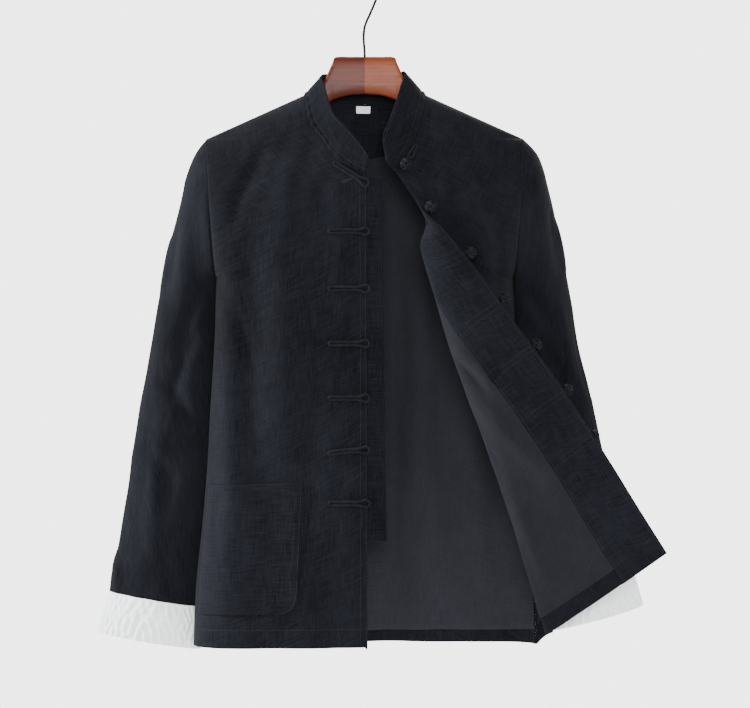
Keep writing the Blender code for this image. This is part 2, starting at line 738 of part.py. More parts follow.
def make_loops():
    lift = CORD_RADIUS + 2.0 * GAP
    for number in range(7):
        tilt = 0.0
        if number == 0:
            end_x, end_z, tilt = 0.0045, -0.2765, math.radians(33.0)
        else:
            end_x, end_z = EDGE_X + 0.0022, LOOP_HEIGHTS[number - 1]
        points = []
        for ahead, beside in hairpin(LOOP_LENGTH, 0.0046):
            back = LOOP_LENGTH - ahead
            x = end_x - back * math.cos(tilt) + beside * math.sin(tilt)
            z = end_z + back * math.sin(tilt) + beside * math.cos(tilt)
            points.append((x, front_y(min(x, EDGE_X), z) - lift, z))
        as_mesh(cord_curve(f"loop_{number + 1}", points, True, CORD_RADIUS, cord))


def make_ball(name, centre):
    body = bmesh.new()
    bmesh.ops.create_uvsphere(body, u_segments=12, v_segments=8, radius=KNOT_RADIUS)
    bmesh.ops.translate(body, verts=body.verts, vec=Vector(centre))
    mesh = bpy.data.meshes.new(name)
    body.to_mesh(mesh)
    body.free()
    mesh.shade_smooth()
    add_object(name, mesh, cord)


def make_neck_knot():
    """The first knot, beside the collar's end, its tail standing up along the collar seam."""
    x, z = 0.0535, -0.2500
    make_ball("knot_1", (x, front_y(x, z) - KNOT_RADIUS - 2.0 * GAP, z))
    length, lean = 0.018, math.radians(27.0)
    points = []
    for ahead, beside in hairpin(length, KNOT_EYE):
        up = KNOT_RADIUS + CORD_RADIUS + GAP + length - ahead
        at_x = x + up * math.sin(lean) + beside * math.cos(lean)
        at_z = z + up * math.cos(lean) - beside * math.sin(lean)
        points.append((at_x, front_y(at_x, at_z) - CORD_RADIUS - 2.0 * GAP, at_z))
    as_mesh(cord_curve("knot_tail_1", points, True, CORD_RADIUS, cord))


def make_knots():
    """Knots past the left front's edge, on its outer face, which the roll turns backward."""
    make_neck_knot()
    lift = CORD_RADIUS + 0.0022
    reach = KNOT_RADIUS + 2.0 * GAP
    past = np.array([math.cos(EDGE_LEAN), 0.0, math.sin(EDGE_LEAN)])
    for number, (down, out, tail) in enumerate(KNOTS, start=2):
        row = NECK_ROW + (1.0 - NECK_ROW) * down / LEFT_EDGE_LENGTH
        edge = left_front(0.0, row)
        behind = math.sqrt(max(reach ** 2 - out ** 2, 0.0))
        make_ball(f"knot_{number}", edge + past * out + BACKWARD * behind)
        if tail == 0.0:
            continue
        points = []
        for ahead, beside in hairpin(tail, KNOT_EYE):
            share = (KNOT_RADIUS + tail - ahead) / left_row_length(row)
            at_row = row + beside / LEFT_EDGE_LENGTH * (1.0 - NECK_ROW)
            normal = -inward_normal(left_front, share, at_row, 1.0)
            points.append(left_front(share, at_row) + normal * lift)
        as_mesh(cord_curve(f"knot_tail_{number}", points, True, CORD_RADIUS, cord))


def make_hanger():
    sides = 12
    for name, side, finish in (("right", -1.0, wood_dark), ("left", 1.0, wood_light)):
        body = bmesh.new()
        rings = []
        for x, top, low, half in WOOD_SECTIONS:
            height = 0.5 * (top - low)
            ring = []
            for k in range(sides):
                turn = 2.0 * math.pi * (k + 0.5) / sides
                cos, sin = math.cos(turn), math.sin(turn)
                y = half * math.copysign(abs(cos) ** 0.6, cos)
                z = 0.5 * (top + low) + height * math.copysign(abs(sin) ** 0.6, sin) / 0.978
                place = WOOD_MIDDLE_X + side * max(x, 0.5 * GAP)
                ring.append(body.verts.new((place, y, z)))
            rings.append(ring)
        for first, second in zip(rings, rings[1:]):
            for k in range(sides):
                n = (k + 1) % sides
                body.faces.new((first[k], first[n], second[n], second[k]))
        body.faces.new(rings[0])
        body.faces.new(rings[-1])
        bmesh.ops.recalc_face_normals(body, faces=body.faces)
        mesh = bpy.data.meshes.new("hanger_" + name)
        body.to_mesh(mesh)
        body.free()
        add_object("hanger_" + name, mesh, finish)


def hook_path():
    """Stem, lean to the right and the open loop, whose inside top is the origin."""
    bend = np.array([-0.0024, -0.0680])
    centre = np.array([0.0, WIRE_RADIUS - HOOK_RADIUS])
    reach = centre - bend
    distance = np.linalg.norm(reach)
    lean = math.atan2(reach[0], reach[1]) + math.asin(HOOK_RADIUS / distance)
    points = [(WOOD_MIDDLE_X, WOOD_TOP_Z + GAP), (-0.0008, -0.0920), (-0.0018, -0.0780)]
    stretch = math.sqrt(distance ** 2 - HOOK_RADIUS ** 2)
    for share in (0.12, 0.5, 0.9):
        points.append((bend[0] + math.sin(lean) * stretch * share,
                       bend[1] + math.cos(lean) * stretch * share))
    for turn in np.linspace(-lean, math.radians(208.0), 19):
        points.append((centre[0] + HOOK_RADIUS * math.cos(turn),
                       centre[1] + HOOK_RADIUS * math.sin(turn)))
    return [(x, 0.0, z) for x, z in points]


for leftover in list(bpy.data.objects):
    bpy.data.objects.remove(leftover)
jacket = bpy.data.collections.new("tang_jacket")
bpy.context.scene.collection.children.link(jacket)
black = material("black_cloth", CLOTH_BLACK, 0.9)
grey = material("grey_lining", LINING_GREY, 0.8)
linen = material("white_linen", LINEN_WHITE, 0.9)
cord = material("black_cord", CORD_BLACK, 0.8)
wood_dark = material("wood_dark", WOOD_DARK, 0.4)
wood_light = material("wood_light", WOOD_LIGHT, 0.4)
steel = material("dark_steel", STEEL_DARK, 0.35, 1.0)
white = material("label_white", LABEL_WHITE, 0.8)
make_right_front()
make_back()
make_left_front()
make_collar()
make_sleeves()
make_loops()
make_knots()
make_hanger()
as_mesh(cord_curve("hook", hook_path(), False, WIRE_RADIUS, steel, sides=2))
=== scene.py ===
"""Tang jacket on a wooden hanger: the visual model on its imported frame."""

import functools
import math

import bmesh
import bpy
import numpy as np
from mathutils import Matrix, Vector


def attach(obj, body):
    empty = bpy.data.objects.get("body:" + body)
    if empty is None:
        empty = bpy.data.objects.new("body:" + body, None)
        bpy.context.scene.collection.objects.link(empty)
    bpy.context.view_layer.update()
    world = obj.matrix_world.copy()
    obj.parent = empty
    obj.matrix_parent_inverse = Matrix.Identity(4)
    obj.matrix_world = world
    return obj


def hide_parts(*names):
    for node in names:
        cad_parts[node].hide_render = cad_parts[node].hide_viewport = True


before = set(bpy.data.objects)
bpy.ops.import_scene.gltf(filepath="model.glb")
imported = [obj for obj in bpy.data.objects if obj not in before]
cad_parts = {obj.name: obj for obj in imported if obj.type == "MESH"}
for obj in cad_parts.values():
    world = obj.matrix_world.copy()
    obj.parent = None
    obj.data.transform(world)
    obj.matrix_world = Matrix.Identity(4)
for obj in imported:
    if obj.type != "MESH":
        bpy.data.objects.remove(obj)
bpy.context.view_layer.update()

bl_info = {
    "name": "Tang Jacket",
    "version": (1, 0, 0),
    "blender": (4, 5, 0),
    "location": "View3D > Sidebar > Tang Jacket",
    "description": "Builds a dark linen tang jacket with frog fastenings on a wooden hanger",
    "category": "Object",
}

# ---- sizes shared with the frame, metres ----------------------------------------------------
CLOTH = 0.0015
LINING = 0.0010
GAP = 0.0003
SEAM_REST = 0.00002      # half the gap left along a closed seam
RIM_SWELL = 0.3          # how far a free edge is rounded out, as a share of its cloth
COLLAR_CLOTH = 0.0022
COLLAR_CLEAR = 0.0002    # collar's foot above its seam
LABEL_CLOTH = 0.0006
LINING_SEAM = 0.0008     # half the gap between facing and lining, as a share across

SHOULDER_SLOPE = 0.45
NECK_SIDE_X = 0.0804
NECK_SIDE_Z = -0.154
TIP_X = 0.2085
TIP_Z = NECK_SIDE_Z - SHOULDER_SLOPE * (TIP_X - NECK_SIDE_X)
UNDERARM_X = 0.1970
UNDERARM_Z = -0.395
HEM_Z = -0.878
EDGE_X = 0.0036
ARMHOLE_FRONT = 0.042
ARMHOLE_BACK = 0.030

NECK_SHARE = 0.3
NECK_ROW = 0.28
UNDERARM_ROW = 0.42
ROLL_ROW = 0.415
FACING_WIDTH = 0.068
FACING_SHARE = 0.3
NECK_FACING_ROW = 0.12
PLACKET_TOP, PLACKET_FOOT = 0.2867, 0.8357
PLACKET_EDGE = 0.7       # share of the placket that stands past the front edge
PLACKET_HELD = 0.08      # share of the front that the rest lies behind
PLACKET_WIDTH = 0.0200   # past the edge, at the neck
PLACKET_FLARE = 0.0048   # wider by this at the foot
POCKET_ACROSS = (0.394, 0.965)
POCKET_ROWS = (0.747, 0.9475)
POCKET_CORNER = 0.075    # how far the rounded corner takes off, as a share across
NECK_PIECE_ACROSS = (0.34, 0.66)
LABEL_ACROSS = (0.474, 0.5155)
LABEL_ROWS = (0.0045, 0.02)
LINING_FOOT_BACK = 0.9795
LINING_FOOT_LEFT = 0.9735
LINING_TOP_LEFT = 0.31

CORD_RADIUS = 0.0019
CORD_PITCH = 0.0042
KNOT_RADIUS = 0.0080
CORD_TWIST = (2, 0.0052, 0.20)        # strands, pitch, depth of the groove between them
LOOP_LENGTH = 0.052
LOOP_EYE, LOOP_PITCH = 0.0046, 0.0040
LOOP_SPACING, LOOP_SIDES = 0.0007, 14
TAIL_SPACING, TAIL_SIDES = 0.0008, 12
COLLAR_LOOP = (0.0045, -0.2765, math.radians(33.0))    # end x, end z, tilt
DROOPING_LOOP, LOOP_DROOP = 5, 0.004                   # counted from 0
LOOP_HEIGHTS = (-0.3370, -0.4110, -0.4820, -0.5525, -0.6195, -0.6885)
KNOTS = (
    # down the left edge from the neck, past the edge, tail
    (0.063, 0.0100, 0.0),
    (0.142, 0.0080, 0.033),
    (0.218, 0.0078, 0.045),
    (0.290, 0.0058, 0.045),
    (0.357, 0.0042, 0.045),
    (0.422, 0.0008, 0.045),
)
KNOT_EYE = 0.0032
COLLAR_KNOT = (0.0535, -0.2500)
COLLAR_TAIL, COLLAR_TAIL_LEAN = 0.018, math.radians(27.0)
KNOT_TWIST = (2, 0.0050, 0.15)
EDGE_LEAN = math.radians(35.4)
LEFT_EDGE_LENGTH = 0.603

WIRE_RADIUS = 0.00165
HOOK_RADIUS = 0.018
WOOD_TOP_Z = -0.1034
WOOD_MIDDLE_X = -0.0003
WOOD_JOIN = 0.00002      # half the gap between the hanger's two halves

BODY_SIDE = np.array([
    # z,       half width
    (-0.3950, 0.1970),
    (-0.4756, 0.1988),
    (-0.5588, 0.2040),
    (-0.6433, 0.2085),
    (-0.7200, 0.2150),
    (-0.8000, 0.2230),
    (-0.8780, 0.2262),
])
NECK_RIGHT = np.array([
    # x,       z
    (-0.0804, -0.1540),
    (-0.0770, -0.1737),
    (-0.0714, -0.1961),
    (-0.0556, -0.2176),
    (-0.0412, -0.2390),
    (-0.0178, -0.2570),
    (0.0020, -0.2620),
])
NECK_LEFT = np.array([
    # x,      z
    (0.0804, -0.1540),
    (0.0765, -0.1760),
    (0.0718, -0.1970),
    (0.0672, -0.2130),
    (0.0612, -0.2284),
    (0.0507, -0.2459),
    (0.0403, -0.2603),
])
NECK_BACK = np.array([
    # x,       z
    (-0.0804, -0.1540),
    (-0.0600, -0.1590),
    (-0.0300, -0.1627),
    (0.0000, -0.1640),
    (0.0300, -0.1627),
    (0.0600, -0.1590),
    (0.0804, -0.1540),
])
COLLAR_TOP = np.array([
    # at,   x,       y,       z
    (0.00, 0.0045, -0.0655, -0.2400),
    (0.14, -0.0075, -0.0620, -0.2210),
    (0.32, -0.0257, -0.0560, -0.1997),
    (0.52, -0.0400, -0.0470, -0.1840),
    (0.72, -0.0480, -0.0360, -0.1640),
    (0.88, -0.0535, -0.0210, -0.1430),
    (1.00, -0.0580, -0.0030, -0.1277),
    (1.22, -0.0440, 0.0170, -0.1250),
    (1.50, 0.0000, 0.0250, -0.1275),
    (1.78, 0.0410, 0.0170, -0.1230),
    (2.00, 0.0527, -0.0030, -0.1238),
    (2.20, 0.0470, -0.0240, -0.1450),
    (2.42, 0.0395, -0.0400, -0.1700),
    (2.64, 0.0310, -0.0520, -0.1950),
    (2.84, 0.0240, -0.0605, -0.2150),
    (3.00, 0.0290, -0.0670, -0.2460),
])
ROLLED = np.array([
    # row,  edge x, y,      z,       turn x, y,       z,       radius
    (0.280, 0.0403, -0.0665, -0.2603, 0.0440, -0.0640, -0.2650, 0.0030),
    (0.355, 0.0770, -0.0850, -0.3116, 0.0745, -0.0760, -0.3200, 0.0070),
    (0.415, 0.1105, -0.0940, -0.3489, 0.0745, -0.0810, -0.3600, 0.0130),
    (0.482, 0.1462, -0.0960, -0.3918, 0.0940, -0.0810, -0.4265, 0.0140),
    (0.551, 0.1799, -0.0940, -0.4391, 0.1115, -0.0800, -0.4870, 0.0140),
    (0.693, 0.2502, -0.0850, -0.5351, 0.1540, -0.0740, -0.6020, 0.0130),
    (0.830, 0.3137, -0.0760, -0.6315, 0.1940, -0.0600, -0.7146, 0.0110),
    (0.915, 0.3517, -0.0710, -0.6923, 0.2160, -0.0480, -0.7864, 0.0080),
    (1.000, 0.3900, -0.0670, -0.7522, 0.2400, -0.0340, -0.8590, 0.0050),
])
SLEEVE_RIGHT = np.array([
    # outer x, z,       inner x, z,      front,  back
    (TIP_X, TIP_Z, UNDERARM_X, UNDERARM_Z, ARMHOLE_FRONT, ARMHOLE_BACK),
    (0.2290, -0.2400, 0.1950, -0.4130, 0.0420, 0.0300),
    (0.2455, -0.2920, 0.1946, -0.4420, 0.0415, 0.0300),
    (0.2640, -0.3714, 0.1950, -0.5000, 0.0405, 0.0300),
    (0.2785, -0.4506, 0.1998, -0.5700, 0.0390, 0.0290),
    (0.2930, -0.5298, 0.2034, -0.6350, 0.0370, 0.0280),
    (0.3062, -0.6090, 0.2080, -0.6950, 0.0350, 0.0270),
    (0.3221, -0.7146, 0.2145, -0.7650, 0.0320, 0.0260),
    (0.3392, -0.8096, 0.2200, -0.8300, 0.0300, 0.0250),
])
SLEEVE_LEFT = np.array([
    # outer x, z,       inner x, z,      front,  back
    (TIP_X, TIP_Z, UNDERARM_X, UNDERARM_Z, ARMHOLE_FRONT, ARMHOLE_BACK),
    (0.2297, -0.2360, 0.1950, -0.4130, 0.0420, 0.0300),
    (0.2482, -0.2922, 0.1946, -0.4420, 0.0415, 0.0300),
    (0.2669, -0.3850, 0.1950, -0.5000, 0.0405, 0.0300),
    (0.2820, -0.4640, 0.2010, -0.5650, 0.0390, 0.0290),
    (0.2980, -0.5380, 0.2075, -0.6250, 0.0370, 0.0280),
    (0.3128, -0.6090, 0.2170, -0.6850, 0.0350, 0.0270),
    (0.3330, -0.7000, 0.2310, -0.7480, 0.0320, 0.0260),
    (0.3510, -0.7760, 0.2430, -0.8060, 0.0300, 0.0250),
])
CUFF_LENGTH = 0.055
CUFF_FLARE = 0.0045
SLEEVE_BEHIND = 0.024
WOOD_SECTIONS = np.array([
    # x,     top z,   bottom z, half thickness
    (0.0000, -0.1034, -0.1523, 0.0075),
    (0.0200, -0.1034, -0.1540, 0.0075),
    (0.0385, -0.1040, -0.1590, 0.0078),
    (0.0430, -0.1120, -0.1615, 0.0080),
    (0.0530, -0.1340, -0.1700, 0.0088),
    (0.0620, -0.1500, -0.1780, 0.0096),
    (0.0850, -0.1635, -0.1920, 0.0098),
    (0.1250, -0.1820, -0.2110, 0.0098),
    (0.1650, -0.2010, -0.2280, 0.0096),
    (0.1900, -0.2140, -0.2360, 0.0085),
    (0.1960, -0.2190, -0.2320, 0.0050),
])

# depth below the shoulder, full depth, radius over the shoulder, armhole's half depth
FRONT_FORM = (0.036, 0.067, 0.045, ARMHOLE_FRONT)
BACK_FORM = (0.021, 0.030, 0.030, ARMHOLE_BACK)
FRONT_DRAPE_Z, BACK_DRAPE_Z = -0.34, -0.30             # where the waves begin
# soft waves of the hanging cloth: height, radians per metre across, phase
FRONT_WAVES = ((0.0030, 41.0, 0.7), (0.0016, 83.0, -1.1))
BACK_WAVES = ((0.0045, 36.0, 0.4), (0.0025, 71.0, -0.9))
# worn ripples of each piece: seed, height
FRONT_RIPPLE, FLAP_RIPPLE, BACK_RIPPLE = (11, 0.0006), (12, 0.0005), (13, 0.0007)
COLLAR_RIPPLE, SLEEVE_RIPPLE = (14, 0.0004), 0.0007

# ---- topstitching ---------------------------------------------------------------------------
STITCH_SHARE = 0.74      # of the pitch that one stitch covers
EDGE_STITCHES = ((0.006, 0.006), (0.042, 0.038))       # across at the neck, across at the hem
FRONT_HEM, BACK_HEM, LEFT_HEM = 0.972, 0.962, 0.968
POCKET_STITCHES = (0.010, 0.042)
POCKET_HEM_STITCHES = (0.008, 0.028)
COLLAR_STITCHES = (0.22, 0.93)
TAIL_STITCH_BESIDE = 0.0030

# ---- light and view -------------------------------------------------------------------------
FLAP_PAINTED_SHADE = 0.68        # painted shade: the same lining, darkened so the folded-open flap reads darker than the back's inside
AMBIENT = 1.25           # world light on the object
BACKDROP = 4.2           # the same world as a bright studio backdrop
WORLD_COLOUR = (0.965, 0.968, 0.975, 1.0)
VIEW_CENTRE = (0.0132, 0.0, -0.4954)
CAMERA_AWAY, CAMERA_LENS, CAMERA_SENSOR = 3.2, 116.4, 36.0
FLOOR_RADIUS, FLOOR_Z = 1.7, -1.35
LIGHTS = (
    # name, place, watts, size, colour
    ("key", (-3.3, -0.3, 0.7), 420.0, 0.9, (0.92, 0.96, 1.0)),
    ("front", (0.2, -4.2, 0.2), 215.0, 1.6, (0.98, 0.99, 1.0)),
    ("fill", (2.4, -1.6, 0.4), 30.0, 1.8, (0.96, 0.98, 1.0)),
    ("rear", (0.8, 2.6, 1.1), 130.0, 1.6, (1.0, 1.0, 1.0)),
)

# ---- creases: (x, z) along each, half width, height (a trough is negative) --------------------
FRONT_RIGHT_CREASES = (
    (((-0.152, -0.300), (-0.146, -0.420), (-0.150, -0.560), (-0.140, -0.700)), 0.020, -0.0045),
    (((-0.178, -0.380), (-0.176, -0.520), (-0.172, -0.680), (-0.184, -0.850)), 0.014, 0.0035),
    (((-0.112, -0.330), (-0.106, -0.480), (-0.113, -0.640)), 0.022, 0.0035),
    (((-0.075, -0.420), (-0.070, -0.600), (-0.080, -0.780)), 0.016, -0.0028),
    (((-0.128, -0.222), (-0.160, -0.286), (-0.184, -0.352)), 0.012, -0.0032),
    (((-0.085, -0.215), (-0.101, -0.280), (-0.104, -0.345)), 0.015, 0.0022),
    (((-0.190, -0.402), (-0.166, -0.450), (-0.151, -0.524)), 0.010, -0.0022),
    (((-0.120, -0.800), (-0.123, -0.870)), 0.014, 0.0026),
    (((-0.052, -0.785), (-0.047, -0.874)), 0.015, -0.0022),
    (((-0.030, -0.300), (-0.034, -0.400), (-0.028, -0.480)), 0.010, 0.0012),
    (((-0.060, -0.270), (-0.050, -0.330)), 0.012, -0.0016),
)
FRONT_LEFT_CREASES = (
    (((0.112, -0.215), (0.150, -0.272), (0.172, -0.345)), 0.012, -0.0030),
    (((0.182, -0.250), (0.174, -0.340), (0.177, -0.430)), 0.011, -0.0030),
    (((0.132, -0.262), (0.142, -0.330), (0.160, -0.395)), 0.014, 0.0024),
    (((0.084, -0.215), (0.098, -0.262), (0.112, -0.300)), 0.010, 0.0018),
    (((0.192, -0.410), (0.180, -0.470), (0.186, -0.560)), 0.010, -0.0020),
)
FLAP_CREASES = (
    (((0.116, -0.488), (0.141, -0.508), (0.168, -0.534)), 0.0055, 0.0046),
    (((0.112, -0.503), (0.137, -0.524), (0.160, -0.552)), 0.0080, -0.0032),
    (((0.138, -0.540), (0.156, -0.568), (0.188, -0.606), (0.233, -0.644), (0.253, -0.676)),
     0.0110, 0.0042),
    (((0.130, -0.556), (0.149, -0.608), (0.187, -0.684)), 0.0120, -0.0030),
    (((0.174, -0.640), (0.206, -0.716), (0.241, -0.802)), 0.0110, 0.0030),
    (((0.262, -0.664), (0.286, -0.716), (0.300, -0.750)), 0.0120, -0.0024),
    (((0.128, -0.392), (0.148, -0.428)), 0.0100, 0.0018),
)
BACK_CREASES = (
    (((0.036, -0.240), (0.042, -0.420), (0.034, -0.640), (0.044, -0.850)), 0.016, 0.0034),
    (((0.066, -0.300), (0.074, -0.480), (0.070, -0.700)), 0.014, -0.0030),
    (((0.098, -0.420), (0.104, -0.600), (0.120, -0.800)), 0.015, 0.0036),
    (((-0.020, -0.230), (-0.026, -0.420), (-0.018, -0.620)), 0.018, -0.0034),
    (((-0.080, -0.260), (-0.086, -0.460), (-0.078, -0.760)), 0.018, 0.0036),
    (((-0.130, -0.230), (-0.150, -0.330), (-0.156, -0.520)), 0.016, -0.0036),
    (((0.140, -0.235), (0.160, -0.340), (0.158, -0.500)), 0.016, -0.0034),
    (((-0.176, -0.400), (-0.160, -0.560), (-0.168, -0.800)), 0.014, 0.0032),
    (((0.172, -0.420), (0.166, -0.600), (0.180, -0.820)), 0.014, 0.0030),
    (((-0.060, -0.185), (0.000, -0.200), (0.060, -0.186)), 0.012, -0.0020),
)
SLEEVE_RIGHT_CREASES = (
    (((-0.203, -0.400), (-0.226, -0.432), (-0.252, -0.505)), 0.012, -0.0046),
    (((-0.205, -0.442), (-0.238, -0.500), (-0.262, -0.566)), 0.010, -0.0032),
    (((-0.226, -0.252), (-0.236, -0.340), (-0.244, -0.436)), 0.014, 0.0034),
    (((-0.286, -0.520), (-0.252, -0.544), (-0.224, -0.592)), 0.010, -0.0034),
    (((-0.300, -0.602), (-0.270, -0.640), (-0.246, -0.704)), 0.012, -0.0028),
    (((-0.262, -0.560), (-0.280, -0.680), (-0.292, -0.800)), 0.015, 0.0032),
    (((-0.330, -0.736), (-0.318, -0.806)), 0.010, -0.0024),
    (((-0.250, -0.320), (-0.262, -0.400)), 0.010, -0.0024),
    (((-0.216, -0.640), (-0.246, -0.676), (-0.262, -0.730)), 0.011, 0.0024),
)
SLEEVE_LEFT_CREASES = (
    (((0.203, -0.404), (0.222, -0.424), (0.250, -0.470)), 0.012, -0.0042),
    (((0.206, -0.448), (0.236, -0.486), (0.264, -0.540)), 0.010, -0.0030),
    (((0.224, -0.244), (0.232, -0.320), (0.242, -0.400)), 0.013, 0.0034),
    (((0.246, -0.300), (0.258, -0.372)), 0.010, -0.0028),
    (((0.262, -0.420), (0.276, -0.480), (0.290, -0.540)), 0.012, 0.0028),
    (((0.296, -0.560), (0.262, -0.590), (0.236, -0.636)), 0.010, -0.0032),
    (((0.316, -0.664), (0.290, -0.690), (0.262, -0.730)), 0.012, -0.0030),
)


# ---- small mathematics ----------------------------------------------------------------------
def ease(t):
    t = min(max(t, 0.0), 1.0)
    return t * t * (3.0 - 2.0 * t)


def along(rows, t):
    """Catmull-Rom curve through the rows, t counted in rows."""
    last = len(rows) - 1
    t = min(max(t, 0.0), float(last))
    i = min(int(t), last - 1)
    f = t - i
    p1, p2 = rows[i], rows[i + 1]
    p0 = rows[i - 1] if i > 0 else 2.0 * p1 - p2
    p3 = rows[i + 2] if i + 2 <= last else 2.0 * p2 - p1
    a = 2.0 * p1
    b = p2 - p0
    c = 2.0 * p0 - 5.0 * p1 + 4.0 * p2 - p3
    d = 3.0 * p1 - p0 - 3.0 * p2 + p3
    return 0.5 * (a + b * f + c * f * f + d * f * f * f)


def along_share(rows, share):
    return along(rows, share * (len(rows) - 1))


def at_key(table, key):
    """Row of a table at a value of its first column, by the curve through its rows."""
    keys = table[:, 0]
    order = keys if keys[0] < keys[-1] else -keys
    wanted = key if keys[0] < keys[-1] else -key
    t = np.interp(wanted, order, np.arange(len(keys)))
    return along(table[:, 1:], t)


def unit(v):
    return v / max(np.linalg.norm(v), 1e-12)


def measured(points):
    """A polyline's points with the length up to each of them."""
    points = np.asarray(points)
    steps = np.linalg.norm(np.diff(points, axis=0), axis=1)
    return points, np.concatenate([[0.0], np.cumsum(steps)])


def at_share(line, share):
    points, length = line
    target = share * length[-1]
    return np.array([np.interp(target, length, points[:, k]) for k in range(3)])


def even(points, count):
    """The polyline at even lengths."""
    line = measured(points)
    return np.array([at_share(line, s) for s in np.linspace(0.0, 1.0, count)])


# ---- the body's form ------------------------------------------------------------------------
def shoulder_z(x):
    return NECK_SIDE_Z - SHOULDER_SLOPE * (abs(x) - NECK_SIDE_X)


@functools.lru_cache(maxsize=20000)
def body_width(z):
    if z >= UNDERARM_Z:
        return UNDERARM_X + (TIP_X - UNDERARM_X) * (z - UNDERARM_Z) / (TIP_Z - UNDERARM_Z)
    return float(at_key(BODY_SIDE, max(z, BODY_SIDE[-1, 0]))[0])


def armhole_depth(z, half_depth):
    middle = 0.5 * (TIP_Z + UNDERARM_Z)
    reach = 0.5 * (TIP_Z - UNDERARM_Z)
    return half_depth * math.sqrt(max(0.0, 1.0 - ((z - middle) / reach) ** 2))


def body_depth(x, z, near, full, roll, armhole):
    """How far the body stands from the middle plane: over the shoulder, across, to the side."""
    below = max(0.0, shoulder_z(x) - z)
    over = math.sqrt(1.0 - (1.0 - min(below / roll, 1.0)) ** 2)
    depth = (near + (full - near) * ease(below / 0.16)) * over
    rim = armhole_depth(z, armhole)
    across = min(abs(x) / body_width(z), 1.0)
    return rim + (depth - rim) * math.sqrt(1.0 - across ** 6)


def drape(x, z, top, waves):
    """Soft waves of the hanging cloth, growing from top down, none at the sides."""
    low = ease((top - z) / 0.45)
    inside = 1.0 - min(abs(x) / body_width(z), 1.0) ** 4
    return low * inside * sum(height * math.sin(many * x + phase) for height, many, phase in waves)


def front_y(x, z):
    return -body_depth(x, z, *FRONT_FORM) + drape(x, z, FRONT_DRAPE_Z, FRONT_WAVES)


def back_y(x, z):
    return body_depth(x, z, *BACK_FORM) + drape(x, z, BACK_DRAPE_Z, BACK_WAVES)


def side_point(row):
    if row < UNDERARM_ROW:
        z = TIP_Z + (UNDERARM_Z - TIP_Z) * row / UNDERARM_ROW
    else:
        z = UNDERARM_Z + (HEM_Z - UNDERARM_Z) * (row - UNDERARM_ROW) / (1.0 - UNDERARM_ROW)
    return np.array([body_width(z), z])


# ---- panels as surfaces: (across, row) -> point ---------------------------------------------
def on_front(start, side, across):
    first = start[0] / body_width(start[1])
    z = start[1] + (side[1] - start[1]) * across
    x = (first + (math.copysign(1.0, side[0]) - first) * across) * body_width(z)
    drop_start = shoulder_z(start[0]) - start[1]
    drop_side = shoulder_z(side[0]) - side[1]
    z = shoulder_z(x) - drop_start - (drop_side - drop_start) * across
    return np.array([x, front_y(x, z), z])


def right_front(across, row):
    """Wearer's right front: across 0 at the neckline or edge, 1 at the armhole or side."""
    if row < NECK_ROW:
        start = along_share(NECK_RIGHT, row / NECK_ROW)
    else:
        down = (row - NECK_ROW) / (1.0 - NECK_ROW)
        end_z = NECK_RIGHT[-1, 1]
        start = np.array([NECK_RIGHT[-1, 0] + (EDGE_X - NECK_RIGHT[-1, 0]) * down,
                          end_z + (HEM_Z - end_z) * down])
    return on_front(start, side_point(row) * (-1.0, 1.0), across)


@functools.lru_cache(maxsize=None)
def left_row_ends(row):
    if row < NECK_ROW:
        start = along_share(NECK_LEFT, row / NECK_ROW)
    else:
        edge = at_key(ROLLED, row)[0:3]
        start = np.array([min(edge[0], side_point(row)[0] - 0.03), edge[2]])
    return start, side_point(row)


def rolled_row(row):
    """Control points of a rolled row: edge, flap, turn, under part, side."""
    edge_x, edge_y, edge_z, turn_x, turn_y, turn_z, radius = at_key(ROLLED, row)
    edge = np.array([edge_x, edge_y, edge_z])
    turn = np.array([turn_x, turn_y, turn_z])
    reach = np.linalg.norm(edge - turn)
    whole = ease((reach / radius - 1.0) / 2.0)
    flap = turn + np.array([0.8 * radius, -radius, 0.5 * radius])
    flap = 0.5 * (edge + turn) * (1.0 - whole) + flap * whole
    swell = np.array([0.0, -0.006 * whole, 0.0])
    middle = 0.5 * (edge + flap) + swell
    side = side_point(row)
    side = np.array([side[0], 0.0, side[1]])
    side[1] = front_y(side[0], side[2])
    under = turn + np.array([1.3 * radius, 1.1 * radius, 0.0])
    points = [edge, middle, flap, turn, under]
    for share in (0.35, 0.7, 0.9):
        at = under + (side - under) * share
        blend = min(1.0, 2.0 * share)
        hang = min(front_y(at[0], at[2]), 0.0)
        at[1] = at[1] * (1.0 - blend) + max(hang, under[1]) * blend
        points.append(at)
    points.append(side)
    return np.array(points)


@functools.lru_cache(maxsize=None)
def rolled_curve(row):
    controls = rolled_row(row)
    return measured([along_share(controls, s) for s in np.linspace(0.0, 1.0, 129)])


def left_front(across, row):
    """Wearer's left front, across 0 at the neckline or edge, 1 at the armhole or side."""
    rolled = ease((row - NECK_ROW) / (ROLL_ROW - NECK_ROW))
    if rolled == 1.0:
        return at_share(rolled_curve(row), across)
    start, side = left_row_ends(row)
    flat = on_front(start, side, across)
    if rolled == 0.0:
        return flat
    return flat * (1.0 - rolled) + at_share(rolled_curve(row), across) * rolled


@functools.lru_cache(maxsize=None)
def left_row_length(row):
    points = [left_front(a, row) for a in np.linspace(0.0, 1.0, 25)]
    return float(measured(points)[1][-1])


def left_warped(across, row):
    """The left front, spaced so that FACING_SHARE runs along the facing's inner seam."""
    facing = FACING_WIDTH / left_row_length(row)
    if across <= FACING_SHARE:
        return left_front(across / FACING_SHARE * facing, row)
    rest = (across - FACING_SHARE) / (1.0 - FACING_SHARE)
    return left_front(facing + rest * (1.0 - facing), row)


